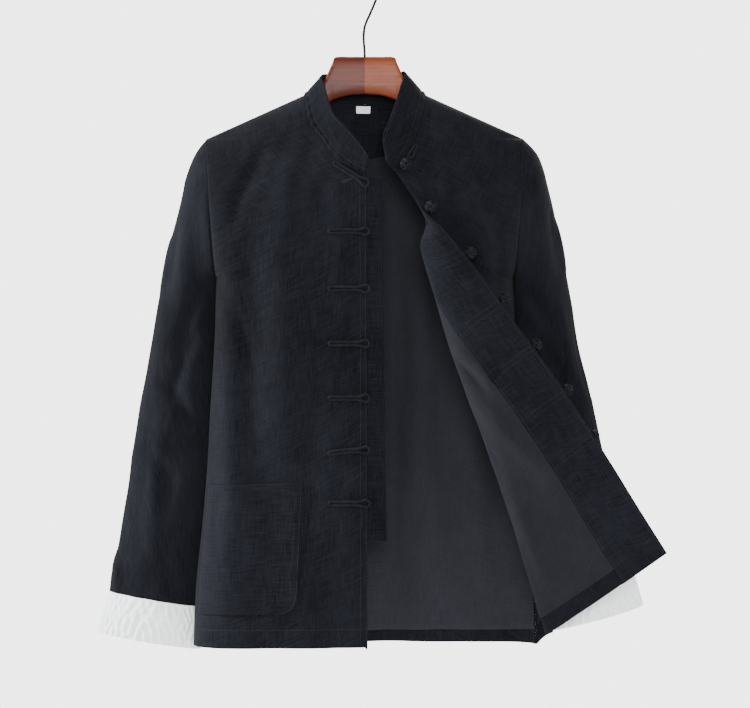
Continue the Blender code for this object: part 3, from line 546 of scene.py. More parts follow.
@functools.lru_cache(maxsize=None)
def shoulder_and_neck(across):
    """(x, z) of the back's top line: shoulder, neckline, shoulder."""
    if across < NECK_SHARE:
        left = np.array([-TIP_X, TIP_Z])
        return left + (NECK_BACK[0] - left) * (across / NECK_SHARE)
    if across > 1.0 - NECK_SHARE:
        share = (across - 1.0 + NECK_SHARE) / NECK_SHARE
        return NECK_BACK[-1] + (np.array([TIP_X, TIP_Z]) - NECK_BACK[-1]) * share
    return along_share(NECK_BACK, (across - NECK_SHARE) / (1.0 - 2.0 * NECK_SHARE))


@functools.lru_cache(maxsize=None)
def side_shift(row):
    return float(side_point(row)[1] - TIP_Z - (HEM_Z - TIP_Z) * row)


def back_panel(across, row):
    """The back, across 0 at the viewer's left side and 1 at the right."""
    x_top, z_top = shoulder_and_neck(across)
    centred = 2.0 * across - 1.0
    z = z_top + (HEM_Z - z_top) * row + side_shift(row) * abs(centred) ** 8
    first = x_top / body_width(z_top)
    x = (first + (centred - first) * row) * body_width(z)
    return np.array([x, back_y(x, z), z])


def facing_depth(across):
    return 0.012 + 0.088 * math.sqrt(max(0.0, 1.0 - ((across - 0.5) / 0.2) ** 2))


def facing_warp(across, row):
    moon = facing_depth(across)
    if row <= NECK_FACING_ROW:
        return row / NECK_FACING_ROW * moon
    return moon + (row - NECK_FACING_ROW) / (1.0 - NECK_FACING_ROW) * (1.0 - moon)


def back_warped(across, row):
    return back_panel(across, facing_warp(across, row))


def placket_surface(share, row):
    if share >= PLACKET_EDGE:
        return right_front(PLACKET_HELD * (share - PLACKET_EDGE) / (1.0 - PLACKET_EDGE), row)
    edge = right_front(0.0, row)
    width = PLACKET_WIDTH + PLACKET_FLARE * (row - NECK_ROW) / (PLACKET_FOOT - NECK_ROW)
    x = edge[0] + (1.0 - share / PLACKET_EDGE) * width
    return np.array([x, front_y(x, edge[2]), edge[2]])


def collar_seam(run):
    if run <= 1.0:
        x, z = along_share(NECK_RIGHT, 1.0 - run)
        return np.array([x, front_y(x, z), z])
    if run <= 2.0:
        x, z = along_share(NECK_BACK, run - 1.0)
        return np.array([x, back_y(x, z), z])
    x, z = along_share(NECK_LEFT, run - 2.0)
    return np.array([x, front_y(x, z), z])


def collar_band(across, up):
    run = 3.0 * across
    seam = collar_seam(run)
    top = at_key(COLLAR_TOP, run)
    clear = COLLAR_CLEAR / np.linalg.norm(top - seam)
    return seam + (top - seam) * (clear + (1.0 - clear) * up)


def sleeve_surface(table, side, around, down):
    """Sleeve ring: around 0 at the outer line, going over the front; down 0 at the armhole."""
    outer_x, outer_z, inner_x, inner_z, front, back = along_share(table, down)
    outer = np.array([outer_x * side, 0.0, outer_z])
    inner = np.array([inner_x * side, 0.0, inner_z])
    angle = 2.0 * math.pi * around
    middle = 0.5 * (outer + inner)
    depth = front if math.sin(angle) >= 0.0 else back
    point = middle + 0.5 * (outer - inner) * math.cos(angle)
    point[1] += SLEEVE_BEHIND * ease(down / 0.38) - depth * math.sin(angle)
    return point


# ---- creases --------------------------------------------------------------------------------
def crease_height(points, table):
    """Height of the creases at points, fading towards each crease's ends."""
    x, z = points[..., 0], points[..., 2]
    total = np.zeros(x.shape)
    for line, half_width, height in table:
        line, length = measured(np.array([(a, 0.0, b) for a, b in line]))
        nearest = np.full(x.shape, 1e9)
        place = np.zeros(x.shape)
        for k in range(len(line) - 1):
            start, end = line[k], line[k + 1]
            run = end - start
            share = ((x - start[0]) * run[0] + (z - start[2]) * run[2]) / (run @ run)
            inside = np.clip(share, 0.0, 1.0)
            off = np.hypot(x - start[0] - inside * run[0], z - start[2] - inside * run[2])
            closer = off < nearest
            nearest = np.where(closer, off, nearest)
            at = (length[k] + inside * (length[k + 1] - length[k])) / length[-1]
            place = np.where(closer, at, place)
        fade = np.clip(4.0 * place * (1.0 - place), 0.0, 1.0) ** 0.7
        total += height * fade * np.exp(-((nearest / half_width) ** 2))
    return total


def ripple(points, seed, height):
    """Faint uneven waves of worn cloth, 20 to 90 mm long."""
    draw = np.random.default_rng(seed)
    total = np.zeros(points.shape[:2])
    for _ in range(9):
        turn = draw.uniform(-0.6, 0.6)
        wave = 2.0 * math.pi / draw.uniform(0.020, 0.090)
        phase = draw.uniform(0.0, 2.0 * math.pi)
        across = points[..., 0] * math.cos(turn) + points[..., 2] * math.sin(turn) * 0.5
        total += np.sin(wave * across + phase + 2.0 * np.sin(9.0 * points[..., 2] + phase))
    return total * height / 4.0


# ---- making meshes --------------------------------------------------------------------------
def add_piece(name, mesh, material, slot_name, *nodes):
    """Puts a mesh in the scene, rides it on the root and lets it stand for its nodes."""
    made = bpy.data.objects.new(name, mesh)
    bpy.context.scene.collection.objects.link(made)
    if not mesh.materials:
        mesh.materials.append(material)
    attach(made, "root")
    if nodes:
        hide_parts(*nodes)
    return made


def grid_normals(grid, us, vs, side, ring):
    """Unit normals of a grid of points, turned by side."""
    if ring:
        wide = np.concatenate([grid[:, -1:], grid, grid[:, :1]], axis=1)
        along_u = wide[:, 2:] - wide[:, :-2]
    else:
        along_u = np.gradient(grid, us, axis=1)
    along_v = np.gradient(grid, vs, axis=0)
    normal = np.cross(along_u, along_v)
    length = np.linalg.norm(normal, axis=2, keepdims=True)
    return normal / np.maximum(length, 1e-15) * side


def relieved(surface, us, vs, side, height, ring=False):
    """A surface's grid of points, sunk along its normals by height, and its normals."""
    grid = np.array([[surface(u, v) for u in us] for v in vs])
    normal = grid_normals(grid, us, vs, side, ring)
    grid = grid - normal * height(grid, *np.meshgrid(us, vs))[..., None]
    return grid, grid_normals(grid, us, vs, side, ring)


def sew_edges(grid, normal, us, vs, seam):
    """Brings the border points to their seam planes and keeps their normals along them."""
    rows, columns = grid.shape[:2]
    for i in range(rows):
        for j in range(columns):
            if i in (0, rows - 1) or j in (0, columns - 1):
                shifts, holds = seam(us[j], vs[i])
                for plane in holds:
                    lean = float(np.dot(normal[i, j], plane))
                    normal[i, j] = unit(normal[i, j] - plane * lean)
                for plane in shifts:
                    grid[i, j] += plane * SEAM_REST


def lengths_along(grid):
    """Metres of cloth across and down to each point of a grid, as its UV map."""
    rows, columns = grid.shape[:2]
    step_u = np.linalg.norm(np.diff(grid, axis=1), axis=2)
    step_v = np.linalg.norm(np.diff(grid, axis=0), axis=2)
    cloth_u = np.concatenate([np.zeros((rows, 1)), np.cumsum(step_u, axis=1)], axis=1)
    cloth_v = np.concatenate([np.zeros((1, columns)), np.cumsum(step_v, axis=0)], axis=0)
    return np.stack([cloth_u, cloth_v], axis=2).reshape(-1, 2)


def outward(grid, rim, ring):
    """Unit directions in the cloth, out over its border, at the rim's points."""
    rows, columns = grid.shape[:2]
    row, column = rim // columns, rim % columns
    along_u = np.gradient(grid, axis=1).reshape(-1, 3)[rim]
    along_v = np.gradient(grid, axis=0).reshape(-1, 3)[rim]
    borders = [(row == 0, -along_v), (row == rows - 1, along_v)]
    if not ring:
        borders += [(column == 0, -along_u), (column == columns - 1, along_u)]
    out = np.zeros((len(rim), 3))
    for mask, direction in borders:
        out[mask] += direction[mask] / np.linalg.norm(direction[mask], axis=1, keepdims=True)
    return out / np.maximum(np.linalg.norm(out, axis=1, keepdims=True), 1e-9)


def cloth_wall(name, surface, us, vs, side, start, thickness, height, seam=None, ring=False):
    """Mesh of a closed cloth wall on a surface, its UV map in metres of cloth."""
    grid, normal = relieved(surface, us, vs, side, height, ring)
    rows, columns = grid.shape[:2]
    if seam:
        sew_edges(grid, normal, us, vs, seam)
    outer = grid + normal * start
    inner = grid + normal * (start + thickness)
    flat = lengths_along(grid)
    count = rows * columns
    index = np.arange(count).reshape(rows, columns)
    turned = np.roll(index, -1, axis=1) if ring else index[:, 1:]
    first = index if ring else index[:, :-1]
    quads = np.stack([first[:-1], turned[:-1], turned[1:], first[1:]], axis=-1).reshape(-1, 4)
    points = [outer.reshape(-1, 3), inner.reshape(-1, 3)]
    faces = [quads, quads[:, ::-1] + count]
    flats = [flat, flat]
    edges = [(index[0], False), (index[-1], True)]
    if not ring:
        edges += [(index[:, 0], True), (index[:, -1], False)]
    lookup = {}
    for line, flip in edges:
        bulge = []
        for vertex in line:
            if int(vertex) not in lookup:
                lookup[int(vertex)] = 2 * count + len(lookup)
            bulge.append(lookup[int(vertex)])
        for k in range(len(line) if ring else len(line) - 1):
            n = (k + 1) % len(line)
            a, b = int(line[k]), int(line[n])
            for face in ((a, bulge[k], bulge[n], b), (bulge[k], a + count, b + count, bulge[n])):
                faces.append(np.array([face[::-1] if flip else face]))
    rim = np.array(list(lookup))
    middle = 0.5 * (outer.reshape(-1, 3)[rim] + inner.reshape(-1, 3)[rim])
    swell = 0.0 if seam else RIM_SWELL * thickness
    points.append(middle + outward(grid, rim, ring) * swell)
    flats.append(flat[rim])
    return mesh_of(name, np.concatenate(points), np.concatenate(faces), np.concatenate(flats))


def mesh_of(name, points, faces, flat=None):
    """Closed mesh with its faces out, and its UV map where flat gives one."""
    mesh = bpy.data.meshes.new(name)
    mesh.from_pydata(points.tolist(), [], [list(map(int, f)) for f in faces])
    if flat is not None:
        layer = mesh.uv_layers.new(name="cloth")
        corner = np.zeros(len(mesh.loops), dtype=np.int32)
        mesh.loops.foreach_get("vertex_index", corner)
        layer.data.foreach_set("uv", flat[corner].astype(np.float32).ravel())
    body = bmesh.new()
    body.from_mesh(mesh)
    bmesh.ops.recalc_face_normals(body, faces=body.faces)
    if body.calc_volume(signed=True) < 0.0:
        bmesh.ops.reverse_faces(body, faces=body.faces)
    body.to_mesh(mesh)
    body.free()
    mesh.shade_smooth()
    return mesh


def tube(name, path, radius, sides, cyclic=False, plies=0, pitch=0.009, depth=0.16):
    """Round cord along a path; plies above 0 twist it, with a groove between its strands."""
    path = np.asarray(path)
    count = len(path)
    if cyclic:
        ahead = np.roll(path, -1, axis=0) - np.roll(path, 1, axis=0)
    else:
        ahead = np.gradient(path, axis=0)
    ahead /= np.linalg.norm(ahead, axis=1, keepdims=True)
    steps = np.concatenate([[0.0], np.cumsum(np.linalg.norm(np.diff(path, axis=0), axis=1))])
    beside = np.cross(ahead[0], (0.0, 1.0, 0.0))
    if np.linalg.norm(beside) < 0.1:
        beside = np.cross(ahead[0], (1.0, 0.0, 0.0))
    beside = unit(beside)
    rings, flats = [], []
    angles = 2.0 * math.pi * np.arange(sides) / sides
    for k in range(count):
        beside = unit(beside - ahead[k] * np.dot(beside, ahead[k]))
        third = np.cross(ahead[k], beside)
        twist = 2.0 * math.pi * steps[k] / pitch
        groove = np.abs(np.sin(0.5 * plies * (angles + twist))) if plies else np.ones(sides)
        size = radius * (1.0 - depth + depth * groove ** 0.6)
        ring = path[k] + np.outer(size * np.cos(angles), beside)
        rings.append(ring + np.outer(size * np.sin(angles), third))
        flats.append(np.stack([radius * (angles + twist), np.full(sides, steps[k])], axis=1))
    points = np.concatenate(rings)
    flat = np.concatenate(flats)
    index = np.arange(count * sides).reshape(count, sides)
    turned = np.roll(index, -1, axis=1)
    if cyclic:
        index = np.concatenate([index, index[:1]])
        turned = np.concatenate([turned, turned[:1]])
    quads = np.stack([index[:-1], turned[:-1], turned[1:], index[1:]], axis=-1).reshape(-1, 4)
    faces = list(quads)
    if not cyclic:
        for end, line in ((0, index[0]), (count - 1, index[-1])):
            tip = path[end] + ahead[end] * radius * (0.45 if end else -0.45)
            points = np.concatenate([points, [tip]])
            flat = np.concatenate([flat, [flat[line[0]]]])
            place = len(points) - 1
            for k in range(sides):
                faces.append((line[k], line[(k + 1) % sides], place))
    return mesh_of(name, points, faces, flat)


# ---- materials ------------------------------------------------------------------------------
class Shade:
    """A node material with short ways to add and join its nodes."""

    def __init__(self, name, roughness, **constants):
        self.made = bpy.data.materials.new(name)
        self.made.use_nodes = True
        self.nodes = self.made.node_tree.nodes
        self.links = self.made.node_tree.links
        self.shader = self.nodes["Principled BSDF"]
        self.shader.inputs["Roughness"].default_value = roughness
        for key, value in constants.items():
            self.shader.inputs[key.replace("_", " ")].default_value = value
        self.coords = self.nodes.new("ShaderNodeTexCoord")

    def join(self, start, end):
        self.links.new(start, end)

    def mapped(self, space, scale):
        node = self.nodes.new("ShaderNodeMapping")
        node.inputs["Scale"].default_value = scale
        self.join(self.coords.outputs[space], node.inputs["Vector"])
        return node.outputs["Vector"]

    def noise(self, space, scale, detail=2.0, distortion=0.0):
        node = self.nodes.new("ShaderNodeTexNoise")
        node.inputs["Scale"].default_value = 1.0
        node.inputs["Detail"].default_value = detail
        node.inputs["Roughness"].default_value = 0.6
        node.inputs["Distortion"].default_value = distortion
        self.join(self.mapped(space, scale), node.inputs["Vector"])
        return node.outputs["Fac"]

    def wave(self, space, scale, direction):
        node = self.nodes.new("ShaderNodeTexWave")
        node.bands_direction = direction
        node.inputs["Scale"].default_value = 1.0
        node.inputs["Detail"].default_value = 0.0
        self.join(self.mapped(space, scale), node.inputs["Vector"])
        return node.outputs["Fac"]

    def ranged(self, value, low, high, to_low=0.0, to_high=1.0):
        node = self.nodes.new("ShaderNodeMapRange")
        node.inputs["From Min"].default_value = low
        node.inputs["From Max"].default_value = high
        node.inputs["To Min"].default_value = to_low
        node.inputs["To Max"].default_value = to_high
        self.join(value, node.inputs["Value"])
        return node.outputs["Result"]

    def maths(self, operation, a, b):
        node = self.nodes.new("ShaderNodeMath")
        node.operation = operation
        for value, place in ((a, node.inputs[0]), (b, node.inputs[1])):
            if isinstance(value, float):
                place.default_value = value
            else:
                self.join(value, place)
        return node.outputs[0]

    def mixed(self, share, dark, light):
        node = self.nodes.new("ShaderNodeMix")
        node.data_type = "RGBA"
        for value, key in ((dark, 6), (light, 7)):
            if isinstance(value, tuple):
                node.inputs[key].default_value = (*value, 1.0)
            else:
                self.join(value, node.inputs[key])
        self.join(share, node.inputs[0])
        return node.outputs[2]

    def colour(self, value):
        self.join(value, self.shader.inputs["Base Color"])

    def bump(self, height, strength, distance):
        node = self.nodes.new("ShaderNodeBump")
        node.inputs["Strength"].default_value = strength
        node.inputs["Distance"].default_value = distance
        self.join(height, node.inputs["Height"])
        self.join(node.outputs["Normal"], self.shader.inputs["Normal"])


def scaled(colour, factor):
    return tuple(min(1.0, c * factor) for c in colour)


def woven(name, colour, contrast, thread, slub=1.0, strength=0.5, sheen=0.02):
    """Plain-weave linen: threads both ways, slubs along them, faint cloudy shading."""
    shade = Shade(name, 0.88, Sheen_Weight=sheen, Sheen_Roughness=0.5)
    shade.shader.inputs["Specular IOR Level"].default_value = 0.03
    fine = 1.0 / thread
    warp = shade.noise("UV", (fine * 0.9, 55.0, 1.0), 2.0)
    weft = shade.noise("UV", (45.0, fine * 0.8, 1.0), 2.0)
    warp_long = shade.noise("UV", (fine * 0.5, 30.0, 1.0), 1.0)
    weft_long = shade.noise("UV", (26.0, fine * 0.45, 1.0), 1.0)
    cloud = shade.noise("Object", (7.0, 7.0, 5.0), 3.0)
    speck = shade.noise("UV", (fine * 0.6, fine * 0.35, 1.0), 1.0)
    threads = shade.maths("ADD", warp, weft)
    slubs = shade.maths("ADD", warp_long, weft_long)
    mix = shade.maths("ADD", threads, slubs)
    mix = shade.maths("ADD", mix, speck)
    clouded = shade.maths("ADD", mix, shade.ranged(cloud, 0.30, 0.70, -0.22, 0.22))
    share = shade.ranged(clouded, 2.5 - 0.42 * slub, 2.5 + 0.42 * slub)
    shade.colour(shade.mixed(share, scaled(colour, 1.0 - contrast), scaled(colour, 1.0 + contrast)))
    columns = shade.wave("UV", (fine * 0.35, 1.0, 1.0), "X")
    rows = shade.wave("UV", (1.0, fine * 0.35, 1.0), "Y")
    relief = shade.maths("ADD", shade.maths("MULTIPLY", columns, rows), mix)
    shade.bump(relief, strength, 0.00035)
    return shade.made


def corded(name, colour):
    """Satin-faced cord: fine threads laid round it."""
    shade = Shade(name, 0.75, Sheen_Weight=0.02, Sheen_Roughness=0.4)
    shade.shader.inputs["Specular IOR Level"].default_value = 0.05
    fibre = shade.noise("UV", (900.0, 2400.0, 1.0), 2.0)
    worn = shade.noise("Object", (160.0, 160.0, 160.0), 2.0)
    share = shade.ranged(shade.maths("ADD", fibre, worn), 0.75, 1.25)
    shade.colour(shade.mixed(share, scaled(colour, 0.6), scaled(colour, 1.5)))
    shade.bump(fibre, 0.5, 0.0002)
    return shade.made


def threaded(name, colour):
    shade = Shade(name, 0.8)
    fibre = shade.noise("Object", (1800.0, 1800.0, 1800.0), 1.0)
    shade.colour(shade.mixed(fibre, scaled(colour, 0.7), scaled(colour, 1.3)))
    shade.bump(fibre, 0.3, 0.0001)
    return shade.made


def timber(name, colour, deep):
    """Varnished wood, its grain along the hanger's arm."""
    shade = Shade(name, 0.42, Coat_Weight=0.03, Coat_Roughness=0.2)
    shade.shader.inputs["Specular IOR Level"].default_value = 0.12
    grain = shade.noise("Object", (16.0, 240.0, 300.0), 4.0, distortion=0.8)
    figure = shade.noise("Object", (5.0, 60.0, 110.0), 3.0, distortion=1.5)
    pores = shade.noise("Object", (60.0, 1400.0, 1600.0), 2.0)
    share = shade.ranged(shade.maths("ADD", grain, figure), 0.7, 1.3)
    base = shade.mixed(share, deep, colour)
    dark = shade.ranged(pores, 0.62, 0.72)
    shade.colour(shade.mixed(dark, base, scaled(deep, 0.6)))
    shade.bump(shade.maths("SUBTRACT", grain, dark), 0.15, 0.0004)
    return shade.made


def darkened_steel(name, colour):
    shade = Shade(name, 0.3, Metallic=1.0)
    wear = shade.noise("Object", (220.0, 220.0, 90.0), 4.0)
    share = shade.ranged(wear, 0.4, 0.65)
    shade.colour(shade.mixed(share, scaled(colour, 0.7), scaled(colour, 1.6)))
    drawn = shade.ranged(wear, 0.3, 0.7, 0.24, 0.42)
    shade.join(drawn, shade.shader.inputs["Roughness"])
    shade.bump(wear, 0.1, 0.0002)
    return shade.made


# ---- what the pieces share ------------------------------------------------------------------
def sizes():
    return bpy.context.scene.tang_jacket_sizes


def colours():
    return bpy.context.scene.tang_jacket_colours


@functools.lru_cache(maxsize=None)
def finish(kind):
    """The material of a kind, made once."""
    tone = colours()
    lining_weave = (0.20, sizes().thread * 0.8, 0.9, 0.35)
    if kind == "cloth":
        return woven("black_linen", tuple(tone.cloth), 0.62, sizes().thread)
    if kind == "lining":
        return woven("grey_lining", tuple(tone.lining), *lining_weave)
    # The flap's lining is the same lining cloth with painted shade.
    if kind == "flap_lining_painted_shade":
        return woven("grey_lining_flap_painted_shade", scaled(tuple(tone.lining), FLAP_PAINTED_SHADE), *lining_weave)
    if kind == "linen":
        return woven("white_linen", tuple(tone.cuffs), 0.10, sizes().thread, 1.1, 0.6, 0.1)
    if kind == "label":
        return woven("label_cotton", tuple(tone.label), 0.06, 0.0004, 1.0, 0.3, 0.05)
    if kind == "cord":
        return corded("black_cord", tuple(tone.cord))
    if kind == "thread":
        return threaded("sewing_thread", tuple(tone.thread))
    # The hanger's two halves are one wood: one tone is painted shade, the other painted light.
    if kind == "wood_dark":
        return timber("wood_dark", tuple(tone.wood_dark), scaled(tuple(tone.wood_dark), 0.45))
    if kind == "wood_light":
        return timber("wood_light", tuple(tone.wood_light), scaled(tuple(tone.wood_light), 0.5))
    return darkened_steel("dark_steel", tuple(tone.steel))


def armhole_plane(side):
    rise = np.array([(TIP_X - UNDERARM_X) * side, 0.0, TIP_Z - UNDERARM_Z])
    return unit(np.array([-rise[2] * side, 0.0, rise[0] * side]))


FORWARD = np.array([0.0, -1.0, 0.0])
BACKWARD = np.array([0.0, 1.0, 0.0])


def panel_planes(side, facing, at_side, on_shoulder, row):
    armhole = armhole_plane(side)
    shifts, holds = [], []
    if at_side and row <= UNDERARM_ROW:
        shifts.append(armhole)
        if row < UNDERARM_ROW:
            holds.append(armhole)
    if on_shoulder or (at_side and row >= UNDERARM_ROW):
        shifts.append(facing)
        holds.append(facing)
    return shifts, holds


def front_seams(side):
    def planes(across, row):
        return panel_planes(side, FORWARD, across >= 1.0, row <= 0.0, row)
    return planes


def back_seams(across, row):
    row = facing_warp(across, row)
    side = -1.0 if across < 0.5 else 1.0
    on_shoulder = row <= 0.0 and not NECK_SHARE < across < 1.0 - NECK_SHARE
    return panel_planes(side, BACKWARD, across <= 0.0 or across >= 1.0, on_shoulder, row)


def smooth(t):
    t = np.clip(t, 0.0, 1.0)
    return t * t * (3.0 - 2.0 * t)


def sewn_fade(u, v, start_sewn=False):
    """0 at the shoulder, armhole and side seams, 1 away from them, so that creases stop there."""
    fade = smooth((1.0 - u) / 0.07) * smooth(v / 0.06)
    return fade * smooth(u / 0.07) if start_sewn else fade


def right_front_relief(grid, u, v):
    """Creases and worn ripples, and the pressed edge that stays flat."""
    total = crease_height(grid, FRONT_RIGHT_CREASES) * sizes().crease
    total += ripple(grid, *FRONT_RIPPLE)
    flat = np.where(v < NECK_ROW, smooth(u / 0.05), smooth(u / 0.16))
    return total * flat * sewn_fade(u, v)


@functools.lru_cache(maxsize=None)
def turn_share(row):
    """Where a rolled row of the left front turns back, as a share across it."""
    shares = np.linspace(0.0, 0.8, 81)
    return float(shares[np.argmin([left_warped(a, row)[0] for a in shares])])


def left_front_relief(grid, u, v):
    turn = np.array([turn_share(round(float(row), 3)) for row in v[:, 0]])[:, None]
    rolled = smooth((v - NECK_ROW) / 0.05)
    off_turn = smooth(np.abs(u - turn) / 0.06)
    upper = crease_height(grid, FRONT_LEFT_CREASES)
    flap = crease_height(grid, FLAP_CREASES)
    under = (u > turn) | (rolled <= 0.0)
    total = np.where(under, upper, -flap * rolled) * sizes().crease
    total *= 1.0 - rolled * (1.0 - off_turn)
    total += ripple(grid, *FLAP_RIPPLE) * smooth(u / 0.05)
    return total * sewn_fade(u, v)


def back_relief(grid, u, v):
    total = crease_height(grid, BACK_CREASES) * sizes().crease
    total += ripple(grid, *BACK_RIPPLE)
    return total * sewn_fade(u, v, True)


def covering(surface, us, vs, side, height, offset):
    """A smooth finder of points on a panel's fine form, offset along its outward normal."""
    grid, normal = relieved(surface, us, vs, side, height)
    grid = grid - normal * offset

    def point(u, v):
        j = float(np.interp(u, us, np.arange(len(us))))
        i = float(np.interp(v, vs, np.arange(len(vs))))
        a, b = min(int(i), len(vs) - 2), min(int(j), len(us) - 2)
        f, g = i - a, j - b
        top = grid[a, b] * (1.0 - g) + grid[a, b + 1] * g
        low = grid[a + 1, b] * (1.0 - g) + grid[a + 1, b + 1] * g
        return top * (1.0 - f) + low * f
    return point


def stops(*runs):
    """Places of a grid from runs of (start, end, count)."""
    return np.unique(np.concatenate([np.linspace(*run) for run in runs]))


FRONT_US = stops((0.0, 0.08, 15), (0.08, 0.92, 76), (0.92, 1.0, 12))
FRONT_VS = stops((0.0, 0.012, 6), (0.012, 0.09, 20), (0.09, 0.28, 36), (0.28, 0.98, 110),
                 (0.98, 1.0, 6))
BACK_US = stops((0.0, 0.02, 6), (0.02, 0.30, 38), (0.30, 0.70, 61), (0.70, 0.98, 38),
                (0.98, 1.0, 6))
BACK_VS = stops((0.0, 0.0045, 4), (0.0045, 0.12, 22), (0.12, 0.9795, 100), (0.9795, 1.0, 6))
LEFT_US = stops((0.0, 0.02, 4), (0.02, 0.29, 22), (0.29, 0.31, 5), (0.31, 0.97, 100),
                (0.97, 1.0, 6))
LEFT_VS = stops((0.0, 0.012, 6), (0.012, 0.09, 18), (0.09, 0.28, 30), (0.28, 0.45, 40),
                (0.45, 0.9735, 76), (0.9735, 1.0, 6))


def within(places, low, high):
    """The shared places of a panel's grid between two of them, both ends included."""
    inside = [p for p in places if low < p < high]
    return np.array([low, *inside, high])


@functools.lru_cache(maxsize=None)
def skin(kind):
    """Finder of points just off a panel: of its outer face, or its lining's face inside."""
    inside = -(CLOTH + GAP + LINING)
    right = (right_front, FRONT_US[::2], FRONT_VS[::2], -1.0, right_front_relief)
    back = (back_warped, BACK_US[::2], BACK_VS[::2], -1.0, back_relief)
    found = {
        "right": (*right, 0.0),
        "pocket": (*right, GAP + CLOTH),
        "left": (left_warped, LEFT_US[::2], LEFT_VS[::2], 1.0, left_front_relief, 0.0),
        "left_inside": (left_warped, LEFT_US, LEFT_VS[::2], 1.0, left_front_relief, inside),
        "back": (*back, 0.0),
    }
    return covering(*found[kind])


# ---- stitches, by geometry nodes ------------------------------------------------------------
@functools.lru_cache(maxsize=None)
def stitch_tree():
    """Node group: resamples each curve and lays one thread stitch on every place of it."""
    tree = bpy.data.node_groups.new("stitches_along_a_path", "GeometryNodeTree")
    for name, kind in (("Path", "Geometry"), ("Pitch", "Float"), ("Length", "Float"),
                       ("Thread", "Float"), ("Finish", "Material")):
        tree.interface.new_socket(name=name, in_out="INPUT", socket_type="NodeSocket" + kind)
    tree.interface.new_socket(name="Stitches", in_out="OUTPUT", socket_type="NodeSocketGeometry")
    new = tree.nodes.new
    given = new("NodeGroupInput")
    result = new("NodeGroupOutput")
    resample = new("GeometryNodeResampleCurve")
    resample.mode = "LENGTH"
    ball = new("GeometryNodeMeshUVSphere")
    for key, value in (("Segments", 5), ("Rings", 4), ("Radius", 0.5)):
        ball.inputs[key].default_value = value
    shape = new("ShaderNodeCombineXYZ")
    stretch = new("GeometryNodeTransform")
    tangent = new("GeometryNodeInputTangent")
    turn = new("FunctionNodeAlignRotationToVector")
    turn.axis = "X"
    place = new("GeometryNodeInstanceOnPoints")
    real = new("GeometryNodeRealizeInstances")
    painted = new("GeometryNodeSetMaterial")
    for start, output, end, socket in (
            (given, "Path", resample, "Curve"),
            (given, "Pitch", resample, "Length"),
            (given, "Length", shape, "X"),
            (given, "Thread", shape, "Y"),
            (given, "Thread", shape, "Z"),
            (ball, "Mesh", stretch, "Geometry"),
            (shape, "Vector", stretch, "Scale"),
            (tangent, "Tangent", turn, "Vector"),
            (resample, "Curve", place, "Points"),
            (stretch, "Geometry", place, "Instance"),
            (turn, "Rotation", place, "Rotation"),
            (place, "Instances", real, "Geometry"),
            (real, "Geometry", painted, "Geometry"),
            (given, "Finish", painted, "Material"),
            (painted, "Geometry", result, "Stitches")):
        tree.links.new(start.outputs[output], end.inputs[socket])
    return tree


def stitched(name, paths):
    """One piece of all the stitches along some paths."""
    curve = bpy.data.curves.new(name + "_path", "CURVE")
    curve.dimensions = "3D"
    for path in paths:
        line = curve.splines.new("POLY")
        line.points.add(len(path) - 1)
        for place, point in zip(line.points, path):
            place.co = (*point, 1.0)
    holder = bpy.data.objects.new(name + "_path", curve)
    bpy.context.scene.collection.objects.link(holder)
    tree = stitch_tree()
    added = holder.modifiers.new("stitches", "NODES")
    added.node_group = tree
    wanted = {"Pitch": sizes().stitch_pitch, "Length": sizes().stitch_pitch * STITCH_SHARE,
              "Thread": sizes().stitch_thread, "Finish": finish("thread")}
    for item in tree.interface.items_tree:
        if item.item_type == "SOCKET" and item.name in wanted:
            added[item.identifier] = wanted[item.name]
    bpy.context.view_layer.update()
    evaluated = holder.evaluated_get(bpy.context.evaluated_depsgraph_get())
    mesh = bpy.data.meshes.new_from_object(evaluated)
    bpy.data.objects.remove(holder)
    bpy.data.curves.remove(curve)
    mesh.name = name
    mesh.shade_smooth()
    if len(mesh.polygons) == 0:
        raise RuntimeError(name + " came out empty")
    add_piece(name, mesh, finish("thread"), "cord")


def line_on(kind, start, end, count=60):
    """Points on a panel's skin between two of its (across, row) places."""
    point = skin(kind)
    steps = np.linspace(0.0, 1.0, count)
    return np.array([point(start[0] + (end[0] - start[0]) * t, start[1] + (end[1] - start[1]) * t)
                     for t in steps])


# ---- the garment's pieces -------------------------------------------------------------------
def cloth_piece(name, kind, slot_name, node, *wall, **more):
    """One sheet of the garment: its wall, its finish and the node it stands for."""
    return add_piece(name, cloth_wall(name, *wall, **more), finish(kind), slot_name, node)


def make_right_front():
    front = cloth_piece("right_front_cloth", "cloth", "cloth", "front_right", right_front, FRONT_US,
                        FRONT_VS, -1.0, 0.0, CLOTH, right_front_relief, front_seams(-1.0))

    def placket_relief(grid, u, v):
        across = np.clip(PLACKET_HELD * (u - PLACKET_EDGE) / (1.0 - PLACKET_EDGE), 0.0, 1.0)
        return right_front_relief(grid, across, v)

    shares = np.concatenate([np.linspace(0.0, PLACKET_EDGE, 16)[:-1],
                             PLACKET_EDGE + (1.0 - PLACKET_EDGE) * np.linspace(0.0, 1.0, 15)])
    placket = cloth_piece("placket_strip", "cloth", "cloth", "placket", placket_surface, shares,
                          within(FRONT_VS, PLACKET_TOP, PLACKET_FOOT), -1.0, CLOTH + GAP, CLOTH,
                          placket_relief)


def pocket_surface(across, row):
    """The patch pocket on the front, its lower corner by the front edge rounded."""
    lower = (row - POCKET_ROWS[0]) / (POCKET_ROWS[1] - POCKET_ROWS[0])
    inset = POCKET_CORNER * max(0.0, (lower - 0.88) / 0.12) ** 2.6
    left = POCKET_ACROSS[0] + inset
    share = (across - POCKET_ACROSS[0]) / (POCKET_ACROSS[1] - POCKET_ACROSS[0])
    return right_front(left + share * (POCKET_ACROSS[1] - left), row)


